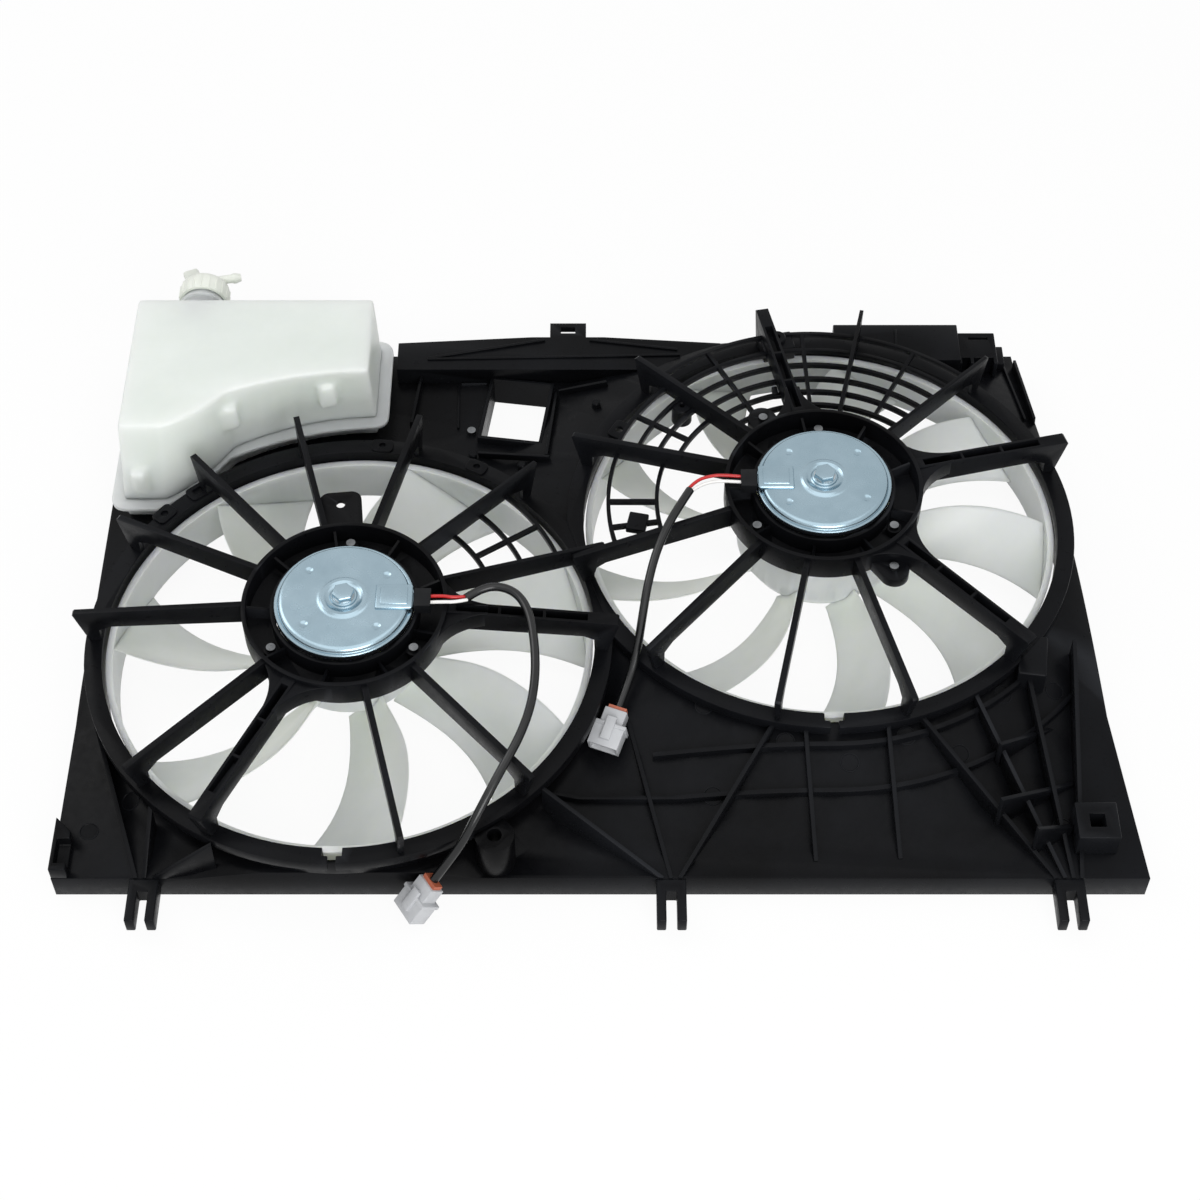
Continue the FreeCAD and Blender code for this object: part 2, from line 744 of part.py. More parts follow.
def make_top_bracket():
    """The raised band along the top edge, with its peak and slotted tab."""
    back = "Size.panel_back"
    near = "Size.panel_back - Size.band_depth"
    band_left = "Size.band_left"
    band = flat("band_outline", [
        (band_left, near), ("Size.band_right", near), ("Size.band_right", back),
        ("Size.tab_x + Size.tab_width", back + " + Size.peak"),
        ("Size.tab_x - Size.tab_width", back + " + Size.peak"), (band_left, back),
    ], "Size.band_top - Size.plate_top", "Size.plate_top")
    hollow = flat("band_hollow", [
        (band_left + " + Size.wall", near + " + Size.wall"),
        ("Size.band_right - Size.wall", near + " + Size.wall"),
        ("Size.band_right - Size.wall", back + " - Size.wall"),
        (band_left + " + Size.wall", back + " - Size.wall"),
    ], "Size.band_top - Size.plate_top - Size.wall", "Size.plate_top")
    tab = block("band_tab", "Size.tab_width", "Size.tab_reach", "2 * Size.wall",
                "Size.tab_x", back + " + Size.peak + Size.tab_reach / 2",
                "Size.band_top - 2 * Size.wall")
    slot = block("band_slot", "Size.tab_slot_width", "Size.tab_slot_depth", "Size.ring_top",
                 "Size.tab_x", back + " + Size.peak + Size.tab_reach / 2")
    ring = cylinder("band_ring", ring_edge + " + Size.seat_gap", "2 * Size.ring_top",
                    "Size.right_fan_x", "Size.right_fan_y")
    return cut("top_bracket", fuse("band_full", [band, tab]),
               fuse("band_tools", [hollow, slot, ring, doc.getObject("panel_outside"),
                                   doc.getObject("window_frame")]))


def make_corner_duct():
    """The raised box in the upper right corner, a lower ribbed block and the stepped edge."""
    back = "Size.panel_back"
    right = "Size.half_width - Size.panel_taper"
    plate = "Size.plate_top"
    box_right = "Size.duct_left + Size.duct_box_length"
    block_right = box_right + " + Size.duct_block_length"
    box = block("duct_box", "Size.duct_box_length", "Size.duct_depth", "Size.ring_top - " + plate,
                "Size.duct_left + Size.duct_box_length / 2", back + " - Size.duct_depth / 2", plate)
    hollow = block("duct_hollow", "Size.duct_box_length - 2 * Size.wall",
                   "Size.duct_depth - 2 * Size.wall", "Size.ring_top - Size.plate_top - Size.wall",
                   "Size.duct_left + Size.duct_box_length / 2", back + " - Size.duct_depth / 2", plate)
    low = block("duct_low_block", "Size.duct_block_length + Size.wall", "Size.duct_depth - 2 * Size.wall",
                "Size.duct_block_top - " + plate,
                box_right + " + (Size.duct_block_length - Size.wall) / 2",
                back + " - Size.duct_depth / 2 + Size.wall", plate)
    bay = block("duct_low_bay", "(Size.duct_block_length - 4 * Size.wall) / 3", "Size.duct_depth / 3",
                "Size.duct_block_top", z=plate)
    slit = block("duct_low_slit", "Size.duct_block_length / 2", "Size.wall",
                 "Size.duct_block_top", block_right + " - Size.duct_block_length / 3 - Size.wall",
                 back + " - 2 * Size.wall", "Size.duct_block_top - Size.wall")
    step = block("duct_step", "Size.wall * 4", "Size.duct_depth / 2", "Size.duct_step_top - " + plate,
                 block_right + " + Size.wall", back + " - Size.duct_depth / 4", plate)
    shelf = flat("duct_shelf", [
        (right + " - Size.duct_shelf_width", back),
        (right + " + Size.panel_taper / 5 - Size.duct_shelf_width", back + " - 2.5 * Size.duct_depth"),
        (right + " + Size.panel_taper / 5", back + " - 2.5 * Size.duct_depth"),
        (right, back),
    ], "Size.duct_shelf_top - " + plate, plate)
    ring = cylinder("duct_ring", ring_edge + " + Size.seat_gap", "2 * Size.ring_top",
                    "Size.right_fan_x", "Size.right_fan_y")
    doc.recompute()
    bays = []
    pitch = bay.Length.Value + value("Size.wall")
    first_bay = value(box_right + " + Size.wall / 2")
    bay_front = value(back + " - Size.duct_depth + 2 * Size.wall")
    for index in range(3):
        room = bay.Shape.copy()
        room.translate(Vector(first_bay + pitch * (index + 0.5), bay_front, 0))
        bays.append(room)
    shape = box.Shape.fuse([low.Shape, step.Shape, shelf.Shape])
    shape = shape.cut([hollow.Shape, slit.Shape, ring.Shape, doc.getObject("panel_outside").Shape] + bays)
    prism = doc.getObject("panel_prism").Shape
    shape = shape.common(prism).removeSplitter()
    return solids("corner_duct", [max(shape.Solids, key=lambda part: part.Volume)])


def make_window_frame():
    """The rectangular tube round the window, from the rim plane to above the plate."""
    height = "Size.plate_top + 2 * Size.wall"
    outer = block("window_outer", "Size.window_width + 2 * Size.wall",
                  "Size.window_length + 2 * Size.wall", height)
    inner = block("window_inner", "Size.window_width", "Size.window_length", height)
    tube = cut("window_tube", outer, inner)
    doc.recompute()
    return solids("window_frame", [turned_copy(tube.Shape, value("Size.window_turn"),
                                               value("Size.window_x"), value("Size.window_y"))])


def make_cord_boss():
    """The round boss beside the left ring, with its hole right through the panel."""
    x = "Size.cord_boss_x"
    y = "Size.cord_boss_y"
    boss = cylinder("boss_body", "Size.cord_boss_radius",
                    "Size.cord_boss_top - Size.plate_top + Size.wall", x, y,
                    "Size.plate_top - Size.wall")
    hole = cylinder("boss_hole", "Size.cord_boss_bore", "Size.cord_boss_top", x, y)
    ring = cylinder("boss_ring", ring_edge + " + Size.seat_gap", "2 * Size.ring_top",
                    "Size.left_fan_x", "Size.left_fan_y")
    return cut("cord_boss", boss, fuse("boss_tools", [hole, ring]))


def make_corner_clip():
    """A wedge-shaped locating clip on the lower left corner."""
    left = "-Size.half_width"
    front = "-Size.panel_front"
    clip = flat("clip_body", [
        (left, front), (left + " + Size.clip_width", front),
        (left + " + Size.clip_width", front + " + Size.clip_length"),
        (left, front + " + Size.clip_length + Size.clip_width"),
    ], "Size.clip_width", "Size.plate_top")
    slit = block("clip_slit", "Size.clip_width", "Size.clip_length - Size.clip_width",
                 "Size.clip_width", left + " + Size.wall + Size.clip_width / 2",
                 front + " + Size.clip_length / 2", "Size.plate_top + Size.wall")
    return cut("corner_clip", clip, slit)


def make_side_box():
    """The square socket at the lower right, which takes a wiring clip."""
    x = "Size.box_x"
    y = "Size.box_y"
    box = block("socket_body", "Size.box_side", "Size.box_side",
                "Size.box_top - Size.plate_top", x, y, "Size.plate_top")
    hole = block("socket_hole", "Size.box_hole", "Size.box_hole", "Size.box_top", x, y,
                 "Size.plate_top + Size.wall")
    panel = doc.getObject("panel_outside")
    return cut("side_clip_box", box, fuse("socket_tools", [hole, panel]))


def tank_wire(inset, level, top):
    """The reservoir's outline at one height, its near side curved round the left ring."""
    left = value("Size.tank_left") + inset
    right = value("Size.tank_right") - inset
    back = value("Size.tank_back") - inset
    near_left = value("Size.tank_near_left") + inset
    near_right = value("Size.tank_near_right") + inset
    if top:
        slope = value("Size.tank_slope")
        left += slope * 0.72
        right -= slope * 0.6
        back -= slope
        near_left += 1.5 * slope
        near_right -= slope / 9
    across = right - left
    rise = near_right - near_left
    corners = [
        Vector(left, near_left, level),
        Vector(left + across * 0.17, near_left, level),
        Vector(left + across * 0.42, near_left + rise * 0.62, level),
        Vector(right, near_right, level),
        Vector(right, back, level),
        Vector(left, back, level),
    ]
    middle = Vector(left + across * 0.30, near_left + rise * 0.24, level)
    far = Vector(left + across * 0.70, near_left + rise * 0.90, level)
    edges = [
        Part.LineSegment(corners[0], corners[1]).toShape(),
        Part.Arc(corners[1], middle, corners[2]).toShape(),
        Part.Arc(corners[2], far, corners[3]).toShape(),
        Part.LineSegment(corners[3], corners[4]).toShape(),
        Part.LineSegment(corners[4], corners[5]).toShape(),
        Part.LineSegment(corners[5], corners[0]).toShape(),
    ]
    return Part.Wire(edges)


def make_tank():
    """The blow-moulded reservoir: two tapered halves, a seam flange and the neck."""
    wall = value("Size.tank_wall")
    base = value("Size.tank_base")
    top = value("Size.tank_top")
    flange = value("Size.tank_flange")
    bottom = value("Size.plate_top")
    lower = Part.makeLoft([tank_wire(flange, bottom, False), tank_wire(flange, base, False)], True, True)
    seam = Part.Face(tank_wire(0, base, False)).extrude(Vector(0, 0, flange))
    upper = Part.makeLoft([tank_wire(flange, base + flange, False), tank_wire(0, top, True)], True, True)
    inner_low = Part.makeLoft([tank_wire(flange + wall, bottom + wall, False),
                               tank_wire(flange + wall, base + flange, False)], True, True)
    inner_high = Part.makeLoft([tank_wire(flange + wall, base + flange, False),
                                tank_wire(wall, top - wall, True)], True, True)
    back = value("Size.tank_back") - value("Size.tank_slope") - flange - 3 * wall
    mouth = value("Size.neck_end")
    root = Vector(value("Size.neck_x"), back, value("Size.neck_z"))
    along = Vector(0, 1, 0)
    neck = Part.makeCylinder(value("Size.neck_radius"), mouth - back, root, along)
    bore = Part.makeCylinder(value("Size.neck_bore"), mouth - back + wall, root, along)
    outside = lower.fuse([seam, upper, neck])
    shape = outside.cut([inner_low.fuse(inner_high), bore]).removeSplitter()
    return solids("reservoir_tank", [shape])


def make_cap():
    """The filler cap: skirt round the neck, plug in its bore, lug and hose nipple."""
    radius = value("Size.cap_radius")
    gap = value("Size.cap_clearance")
    mouth = value("Size.neck_end")
    end = value("Size.half_depth")
    wall = value("Size.wall")
    skirt = value("Size.cap_skirt")
    x = value("Size.neck_x")
    z = value("Size.neck_z")
    along = Vector(0, 1, 0)
    body = Part.makeCylinder(radius, skirt + wall, Vector(x, mouth - skirt, z), along)
    hollow = Part.makeCylinder(value("Size.neck_radius") + gap, skirt, Vector(x, mouth - skirt, z), along)
    plug = Part.makeCylinder(value("Size.neck_bore") - gap, skirt, Vector(x, mouth - skirt, z), along)
    crown = Part.makeCone(radius, radius * 0.62, end - mouth - wall, Vector(x, mouth + wall, z), along)
    lug = Part.makeBox(radius * 0.5, end - mouth, wall * 2,
                       Vector(x - radius * 1.25, mouth, z - wall))
    nipple_end = radius * 1.9
    nipple = Part.makeCylinder(wall * 1.2, nipple_end, Vector(x, (mouth + wall + end) / 2, z),
                               Vector(1, 0.2, 0))
    shape = body.cut(hollow).fuse([plug, crown, lug, nipple]).removeSplitter()
    return solids("reservoir_cap", [shape])


def screw(x, y, seat, depth, head_radius, shank_radius, head_height):
    """A screw whose head sits on a seat, standing along Z."""
    head = Part.makeCylinder(head_radius, head_height, Vector(x, y, seat))
    shank = Part.makeCylinder(shank_radius, depth, Vector(x, y, seat - depth))
    return head.fuse(shank).removeSplitter()


def make_can(side):
    """The motor's steel can: front bearing seat, wall, flange and mounting lugs."""
    seat = "Size.front_bearing_radius"
    section = [
        (seat, "Size.can_front - Size.bearing_length"),
        (seat + " + Size.can_wall", "Size.can_front - Size.bearing_length"),
        (seat + " + Size.can_wall", "Size.can_front"),
        ("Size.can_radius", "Size.can_front"),
        ("Size.can_radius", "Size.collar_top + Size.seat_gap"),
        ("Size.can_flange_radius", "Size.collar_top + Size.seat_gap"),
        ("Size.can_flange_radius", "Size.can_flange_top"),
        ("Size.can_radius - Size.can_wall", "Size.can_flange_top"),
        ("Size.can_radius - Size.can_wall", "Size.can_front + Size.can_wall"),
        (seat, "Size.can_front + Size.can_wall"),
    ]
    can = turned(side + "_can_turned", section)
    lug = block(side + "_lug", "Size.screw_circle - Size.can_radius + Size.boss_radius + Size.can_wall",
                "2 * Size.boss_radius", "Size.lug_thick",
                "(Size.screw_circle + Size.can_radius + Size.boss_radius - Size.can_wall) / 2",
                z="Size.cup_floor - Size.lug_thick")
    hole = cylinder(side + "_lug_hole", "Size.screw_shank", "Size.cup_floor",
                    "Size.screw_circle")
    drilled = cut(side + "_lug_drilled", lug, hole)
    clear = cylinder(side + "_can_clear", "Size.can_radius - Size.can_wall", "Size.cup_top")
    doc.recompute()
    lugs = [turned_copy(drilled.Shape.cut(clear.Shape), angle) for angle in screw_angles]
    shape = can.Shape.fuse(lugs).removeSplitter()
    x, y = at_fan(side)
    return solids(side + "_motor_can", [turned_copy(shape, 0, x, y)])


def make_end_plate(side, lead_angle):
    """The pressed rear plate: rolled rim, ring bead, bearing cup and brush bulge."""
    top = "Size.plate_rise"
    rim = "Size.can_flange_top"
    inner = "Size.bearing_cup_radius - Size.plate_thick"
    section = [
        ("0", "Size.bearing_cup_top"),
        ("0", "Size.bearing_cup_top - Size.plate_thick"),
        (inner, "Size.bearing_cup_top - Size.plate_thick"),
        (inner, top + " - Size.plate_thick"),
        ("Size.plate_radius - Size.plate_thick", top + " - Size.plate_thick"),
        ("Size.plate_radius - Size.plate_thick", rim),
        ("Size.can_flange_radius", rim),
        ("Size.can_flange_radius", rim + " + Size.plate_thick"),
        ("Size.plate_radius", rim + " + Size.plate_thick"),
        ("Size.plate_radius", top + " - Size.plate_thick / 2"),
        ("Size.plate_radius - Size.plate_thick / 2", top),
        ("Size.bead_radius", top),
        ("Size.bead_radius - Size.plate_thick", top + " + Size.plate_thick"),
        ("Size.bead_radius - 3 * Size.plate_thick", top + " + Size.plate_thick"),
        ("Size.bead_radius - 4 * Size.plate_thick", top),
        ("Size.bearing_cup_radius", top),
        ("Size.bearing_cup_radius", "Size.bearing_cup_top - Size.plate_thick / 2"),
        ("Size.bearing_cup_radius - Size.plate_thick / 2", "Size.bearing_cup_top"),
    ]
    plate = turned(side + "_plate_turned", section)
    bulge = block(side + "_bulge", "Size.bulge_length", "Size.bulge_width", "Size.bulge_rise",
                  "Size.can_flange_radius - Size.bulge_length / 2 - Size.can_wall / 2",
                  z=top + " - Size.plate_thick / 2")
    doc.recompute()
    shape = plate.Shape.fuse(turned_copy(bulge.Shape, lead_angle)).removeSplitter()
    x, y = at_fan(side)
    return solids(side + "_end_plate", [turned_copy(shape, 0, x, y)])


def make_motor_inside(side):
    """Magnets, brush holder, brushes, bearings, shaft, armature and nut of one motor."""
    x, y = at_fan(side)
    inner = value("Size.can_radius - Size.can_wall")
    thick = value("Size.magnet_thick")
    length = value("Size.magnet_length")
    front = value("Size.can_front")
    middle = (front + value("Size.can_flange_top")) / 2 - value("Size.wall")
    shaft = value("Size.shaft_radius")
    running = shaft + value("Size.shaft_clearance")
    long = value("Size.bearing_length")
    edge_angle = value("Size.magnet_edge_angle")
    tile_low = middle - length / 2
    tile = arc_strip(inner - thick / 2, thick, tile_low, tile_low + length, edge_angle, 90 - edge_angle)
    solids(side + "_magnets", [turned_copy(tile, 90 * index, x, y) for index in range(4)])
    cup = value("Size.bearing_cup_radius - Size.plate_thick")
    rear_low = value("Size.plate_rise") - long + value("Size.wall")
    tube = Part.makeCylinder(value("Size.front_bearing_radius"), long, Vector(x, y, front - long))
    hole = Part.makeCylinder(running, 4 * long, Vector(x, y, front - 2 * long))
    solids(side + "_front_bearing", [tube.cut(hole)])
    tube = Part.makeCylinder(cup, long, Vector(x, y, rear_low))
    hole = Part.makeCylinder(running, 4 * long, Vector(x, y, rear_low - long))
    solids(side + "_rear_bearing", [tube.cut(hole)])
    radius = value("Size.commutator_radius")
    gap = value("Size.brush_gap")
    board = value("Size.can_flange_top") - 2 * value("Size.wall")
    holder = Part.makeCylinder(inner, value("Size.wall") / 2, Vector(x, y, board))
    holder = holder.cut(Part.makeCylinder(radius + 2 * thick, front, Vector(x, y, board - 1)))
    solids(side + "_brush_holder", [holder])
    brush = Part.makeBox(3 * thick, thick + 2, thick, Vector(radius + gap, -thick / 2 - 1, board - thick))
    solids(side + "_brushes", [turned_copy(brush, 45 + 90 * index, x, y) for index in range(4)])
    nut_top = value("Size.hub_face")
    nut_low = nut_top - value("Size.nut_length")
    shaft_low = nut_low - value("Size.wall")
    shaft_top = rear_low + long - value("Size.can_wall") / 2
    rod = Part.makeCylinder(shaft, shaft_top - shaft_low, Vector(x, y, shaft_low))
    solids(side + "_motor_shaft", [rod])
    core = value("Size.core_length")
    winding = 8
    radii = [
        (value("Size.core_radius"), middle - core / 2, middle + core / 2),
        (value("Size.core_radius") * 0.78, middle - core / 2 - winding, middle + core / 2 + winding),
        (radius, middle + core / 2, board),
    ]
    stack = [Part.makeCylinder(size, high - low, Vector(x, y, low)) for size, low, high in radii]
    bore = Part.makeCylinder(shaft, 2 * length, Vector(x, y, front))
    solids(side + "_armature", [stack[0].fuse(stack[1:]).cut(bore).removeSplitter()])
    corners = [Vector(math.cos(math.radians(60 * index)), math.sin(math.radians(60 * index)), 0)
               * (value("Size.nut_flats") / math.sqrt(3)) + Vector(x, y, nut_low)
               for index in range(7)]
    nut = Part.Face(Part.makePolygon(corners)).extrude(Vector(0, 0, nut_top - nut_low))
    bore = Part.makeCylinder(shaft, 4 * long, Vector(x, y, nut_low - long))
    solids(side + "_fan_nut", [nut.cut(bore)])


def blade_section(radius, chord, pitch, shift, camber, thick):
    """A curved plate section across the blade at one distance from the axis."""
    middle = (value("Size.fan_bottom") + value("Size.fan_top")) / 2 - 1
    half = chord / 2
    lift = math.tan(math.radians(pitch))
    along = Vector(0, math.cos(math.radians(pitch)), math.sin(math.radians(pitch)))
    across = Vector(0, -math.sin(math.radians(pitch)), math.cos(math.radians(pitch)))
    centre = Vector(radius, shift, middle)
    edge = thick * 0.3
    low_a = centre - along * half - across * edge
    high_a = centre - along * half + across * edge
    low_b = centre + along * half - across * edge
    high_b = centre + along * half + across * edge
    low_mid = centre - across * (camber * chord + thick / 2)
    high_mid = centre - across * (camber * chord - thick / 2)
    return Part.Wire([
        Part.Arc(low_a, low_mid, low_b).toShape(),
        Part.LineSegment(low_b, high_b).toShape(),
        Part.Arc(high_b, high_mid, high_a).toShape(),
        Part.LineSegment(high_a, low_a).toShape(),
    ])


def make_fan(side, count, phase):
    """One wheel: hub cup, swept blades between hub and ring, and the running ring."""
    x, y = at_fan(side)
    root = value("Size.%s_root_chord" % side)
    tip = value("Size.%s_tip_chord" % side)
    hub = value("Size.%s_hub_radius" % side)
    nose = value("Size.%s_nose_radius" % side)
    ring = value("Size.fan_radius - Size.fan_wall")
    stations = []
    for share, shift in ((-0.08, 0.06), (0.2, 0.105), (0.5, 0.13), (0.8, 0.09), (1.05, 0.0)):
        radius = hub + (ring - hub) * share
        grown = root + (tip - root) * max(share, 0) ** 1.2
        pitch = 52 - 27 * share
        stations.append(blade_section(radius, grown, pitch, shift * ring, 0.06,
                                      value("Size.blade_thick")))
    blade = Part.makeLoft(stations, True, False)
    shoulder = value("Size.hub_shoulder")
    turn = value("Size.hub_face + Size.wall")
    hub_space = Part.makeCylinder(nose, turn).fuse([
        Part.makeCone(nose, hub, shoulder - turn, Vector(0, 0, turn)),
        Part.makeCylinder(hub, 2 * ring, Vector(0, 0, shoulder)),
    ])
    blade = blade.common(Part.makeCylinder(ring, 2 * ring)).cut(hub_space)
    blade = max(blade.Solids, key=lambda part: part.Volume)
    blades = [turned_copy(blade, phase + 360 / count * index, x, y) for index in range(count)]
    solids(side + "_fan_blades", blades)
    face = "Size.hub_face"
    outer = "Size.%s_hub_radius" % side
    tip = "Size.%s_nose_radius" % side
    seat = "Size.can_front - Size.bearing_length - Size.can_wall"
    hub_body = turned(side + "_fan_hub", [
        ("Size.shaft_radius", face),
        (tip + " - Size.wall", face),
        (tip, face + " + Size.wall"),
        (outer, "Size.hub_shoulder"),
        (outer, "Size.hub_top"),
        (outer + " - Size.fan_wall", "Size.hub_top"),
        (outer + " - Size.fan_wall", "Size.hub_shoulder"),
        (tip + " - 2 * Size.fan_wall", face + " + Size.wall"),
        ("Size.shaft_radius + 2 * Size.fan_wall", face + " + Size.wall"),
        ("Size.shaft_radius + 2 * Size.fan_wall", seat),
        ("Size.shaft_radius", seat),
    ])
    place(hub_body, "Size.%s_fan_x" % side, "Size.%s_fan_y" % side)
    lip = "Size.fan_radius + Size.fan_wall"
    ring_body = turned(side + "_fan_ring", [
        ("Size.fan_radius - Size.fan_wall", "Size.fan_bottom"),
        ("Size.fan_radius", "Size.fan_bottom"),
        ("Size.fan_radius", "Size.fan_top - Size.fan_wall"),
        (lip, "Size.fan_top - Size.fan_wall"),
        (lip, "Size.fan_top"),
        ("Size.fan_radius - Size.fan_wall", "Size.fan_top"),
    ])
    place(ring_body, "Size.%s_fan_x" % side, "Size.%s_fan_y" % side)


def rounded_path(points, report):
    """Straight runs joined by tangent arcs, each as large as its two runs allow."""
    edges = []
    radii = []
    last = points[0]
    for before, corner, after in zip(points, points[1:], points[2:]):
        into = corner - before
        out = after - corner
        shorter = min(into.Length, out.Length)
        into = into.normalize()
        out = out.normalize()
        half = into.getAngle(out) / 2
        reach = 0.45 * shorter
        radii.append(reach / math.tan(half))
        start = corner - into * reach
        end = corner + out * reach
        bisector = (out - into).normalize()
        middle = corner + bisector * (radii[-1] / math.cos(half) - radii[-1])
        edges.append(Part.LineSegment(last, start).toShape())
        edges.append(Part.Arc(start, middle, end).toShape())
        last = end
    edges.append(Part.LineSegment(last, points[-1]).toShape())
    wire = Part.Wire(edges)
    print("%s: length %.0f mm, radii %s" % (report, wire.Length, [round(item, 1) for item in radii]))
    return wire


def make_tube(name, points, diameter):
    wire = rounded_path(points, name)
    profile = Part.Wire([Part.Circle(points[0], points[1] - points[0], diameter / 2).toShape()])
    tube = wire.makePipeShell([profile], True, True)
    expected = math.pi * diameter ** 2 / 4 * wire.Length
    if abs(tube.Volume - expected) > 0.01 * expected:
        raise RuntimeError("%s has %.0f mm3, not %.0f" % (name, tube.Volume, expected))
    return solids(name, [tube])


def oriented(shape, start, end):
    """A shape made along X, laid from one point towards another with its Y level."""
    along = (end - start).normalize()
    across = Vector(-along.y, along.x, 0).normalize()
    copy = shape.copy()
    turn = FreeCAD.Rotation(along, across, along.cross(across), "XYZ")
    copy.Placement = FreeCAD.Placement(start, turn)
    return copy


def make_connector(side, start, end):
    """The sealed two-way housing: cable end, flange, hollow mating end and latch."""
    length = value("Size.connector_length")
    width = value("Size.connector_width")
    height = value("Size.connector_height")
    thick = value("Size.seal_thick")
    wall = value("Size.can_wall")
    rear = length * 0.35
    seal = Part.makeBox(thick, width * 0.55, height * 0.45,
                        Vector(0, -width * 0.275, -height * 0.225))
    back = Part.makeBox(rear, width * 0.68, height * 0.72, Vector(thick, -width * 0.34, -height * 0.36))
    flange = Part.makeBox(thick, width, height, Vector(thick + rear, -width / 2, -height / 2))
    front = Part.makeBox(length - rear - 2 * thick, width - wall, height - wall,
                         Vector(2 * thick + rear, (wall - width) / 2, (wall - height) / 2))
    hollow = Part.makeBox(length, width - 3 * wall, height - 3 * wall,
                          Vector(length * 0.55, (3 * wall - width) / 2, (3 * wall - height) / 2))
    latch = Part.makeBox(length * 0.55, width * 0.3, wall,
                         Vector(thick + rear * 0.6, -width * 0.15, height / 2 - wall / 2))
    body = back.fuse([flange, front, latch]).cut(hollow).removeSplitter()
    solids(side + "_connector_seals", [oriented(seal, start, end)])
    solids(side + "_connector", [oriented(body, start, end)])


def make_lead(side, lead_angle, red, white, sleeve):
    """One motor's lead: plug at the can, two wires, their sleeve and the connector."""
    x, y = at_fan(side)
    length = value("Size.plug_length")
    width = value("Size.plug_width")
    plug = Part.makeBox(length, width, value("Size.plug_height"),
                        Vector(value("Size.can_flange_radius"), -width / 2, value("Size.collar_top")))
    cutter = Part.makeCylinder(value("Size.can_flange_radius"), value("Size.cup_top") * 2)
    plug = turned_copy(plug.cut(cutter), lead_angle, x, y)
    points = [Vector(*point) for point in sleeve]
    tube = make_tube(side + "_lead_sleeve", points, value("Size.sleeve_diameter"))
    wire = value("Size.wire_diameter")
    for colour, route in (("red", red), ("white", white)):
        run = [Vector(*point) for point in route]
        made = make_tube("%s_%s_wire" % (side, colour), run, wire)
        made.Shape = max(made.Shape.cut(tube.Shape).Solids, key=lambda part: part.Volume)
        room = Part.makeCylinder(wire / 2 + value("Size.wire_clearance"), length, run[0], run[1] - run[0])
        plug = plug.cut(room)
    solids(side + "_lead_plug", [plug])
    make_connector(side, points[-1], points[-1] * 2 - points[-2])


def make_screws():
    """The motor screws, the ear screws and the one beside the window."""
    head = value("Size.screw_head")
    shank = value("Size.screw_shank")
    tall = value("Size.wall")
    seat = value("Size.boss_top")
    deep = seat - value("Size.cup_floor") + value("Size.lug_thick")
    circle = value("Size.screw_circle")
    for side in ("left", "right"):
        x, y = at_fan(side)
        one = screw(circle, 0, seat, deep, head, shank, tall)
        solids(side + "_motor_screws", [turned_copy(one, angle, x, y) for angle in screw_angles])
    x, y = at_fan("right")
    reach = value("Size.cup_radius + Size.right_ear_hole")
    ear = value("Size.ear_top")
    one = screw(reach, 0, ear, 3 * tall, head, shank, tall)
    loose = [turned_copy(one, angle, x, y) for angle in right_ear_angles]
    loose.append(screw(value("Size.panel_screw_x"), value("Size.panel_screw_y"),
                       value("Size.plate_top"), 2 * tall, head, shank, tall))
    solids("shroud_screws", loose)


panel, panel_outside = make_panel()
for side_name in ("left", "right"):
    make_ring(side_name)
make_cup("left", left_ear_angles)
make_cup("right", right_ear_angles)
plain_arm = make_arm("plain_arm", "Size.arm_thick", False)
thin_arm = make_arm("thin_arm", "Size.thin_arm_thick", False)
channel_arm = make_arm("channel_arm", "Size.channel_width", True)
make_spokes("left", left_spoke_angles, channel_angles)
make_spokes("right", right_spoke_angles, channel_angles)
make_guard("left", left_guard_fields)
make_guard("right", right_guard_fields)
make_side_box()
make_ribs(panel_outside)
make_feet()
make_window_frame()
make_top_bracket()
make_corner_duct()
make_cord_boss()
make_corner_clip()
make_tank()
make_cap()
for side_name, angle_of_lead in (("left", 0), ("right", 180)):
    make_can(side_name)
    make_end_plate(side_name, angle_of_lead)
    make_motor_inside(side_name)
make_fan("left", int(value("Size.left_blades")), -90)
make_fan("right", int(value("Size.right_blades")), -88)
make_screws()
make_lead("left", 0, left_red_route, left_white_route, left_sleeve_route)
make_lead("right", 180, right_red_route, right_white_route, right_sleeve_route)
doc.recompute()

node_names = [
    "shroud_panel", "left_ring", "right_ring", "left_motor_mount", "right_motor_mount",
    "left_spokes", "right_spokes", "left_guard", "right_guard", "panel_ribs", "fork_feet",
    "top_bracket", "corner_duct", "window_frame", "cord_boss", "corner_clip",
    "side_clip_box", "reservoir_tank", "reservoir_cap", "shroud_screws",
]
motor_parts = [
    "motor_can", "end_plate", "magnets", "brush_holder", "brushes", "front_bearing",
    "rear_bearing", "motor_screws", "lead_plug", "red_wire", "white_wire", "lead_sleeve",
    "connector", "connector_seals", "fan_hub", "fan_blades", "fan_ring", "motor_shaft",
    "armature", "fan_nut",
]
node_names += [side + "_" + part for side in ("left", "right") for part in motor_parts]

for thing in doc.Objects:
    if "Invalid" in thing.State or "Error" in thing.State:
        raise RuntimeError("%s failed: %s" % (thing.Name, thing.State))
os.makedirs("parts", exist_ok=True)
for node in node_names:
    thing = doc.getObject(node)
    thing.Label = node
    shape = thing.Shape
    if shape.isNull() or not shape.isValid() or not shape.Solids:
        raise RuntimeError("%s has no valid solid" % node)
    shape.exportStep("parts/%s.step" % node)
print("%d nodes" % len(node_names))
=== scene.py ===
import json
import math

import bpy
from mathutils import Matrix, Vector


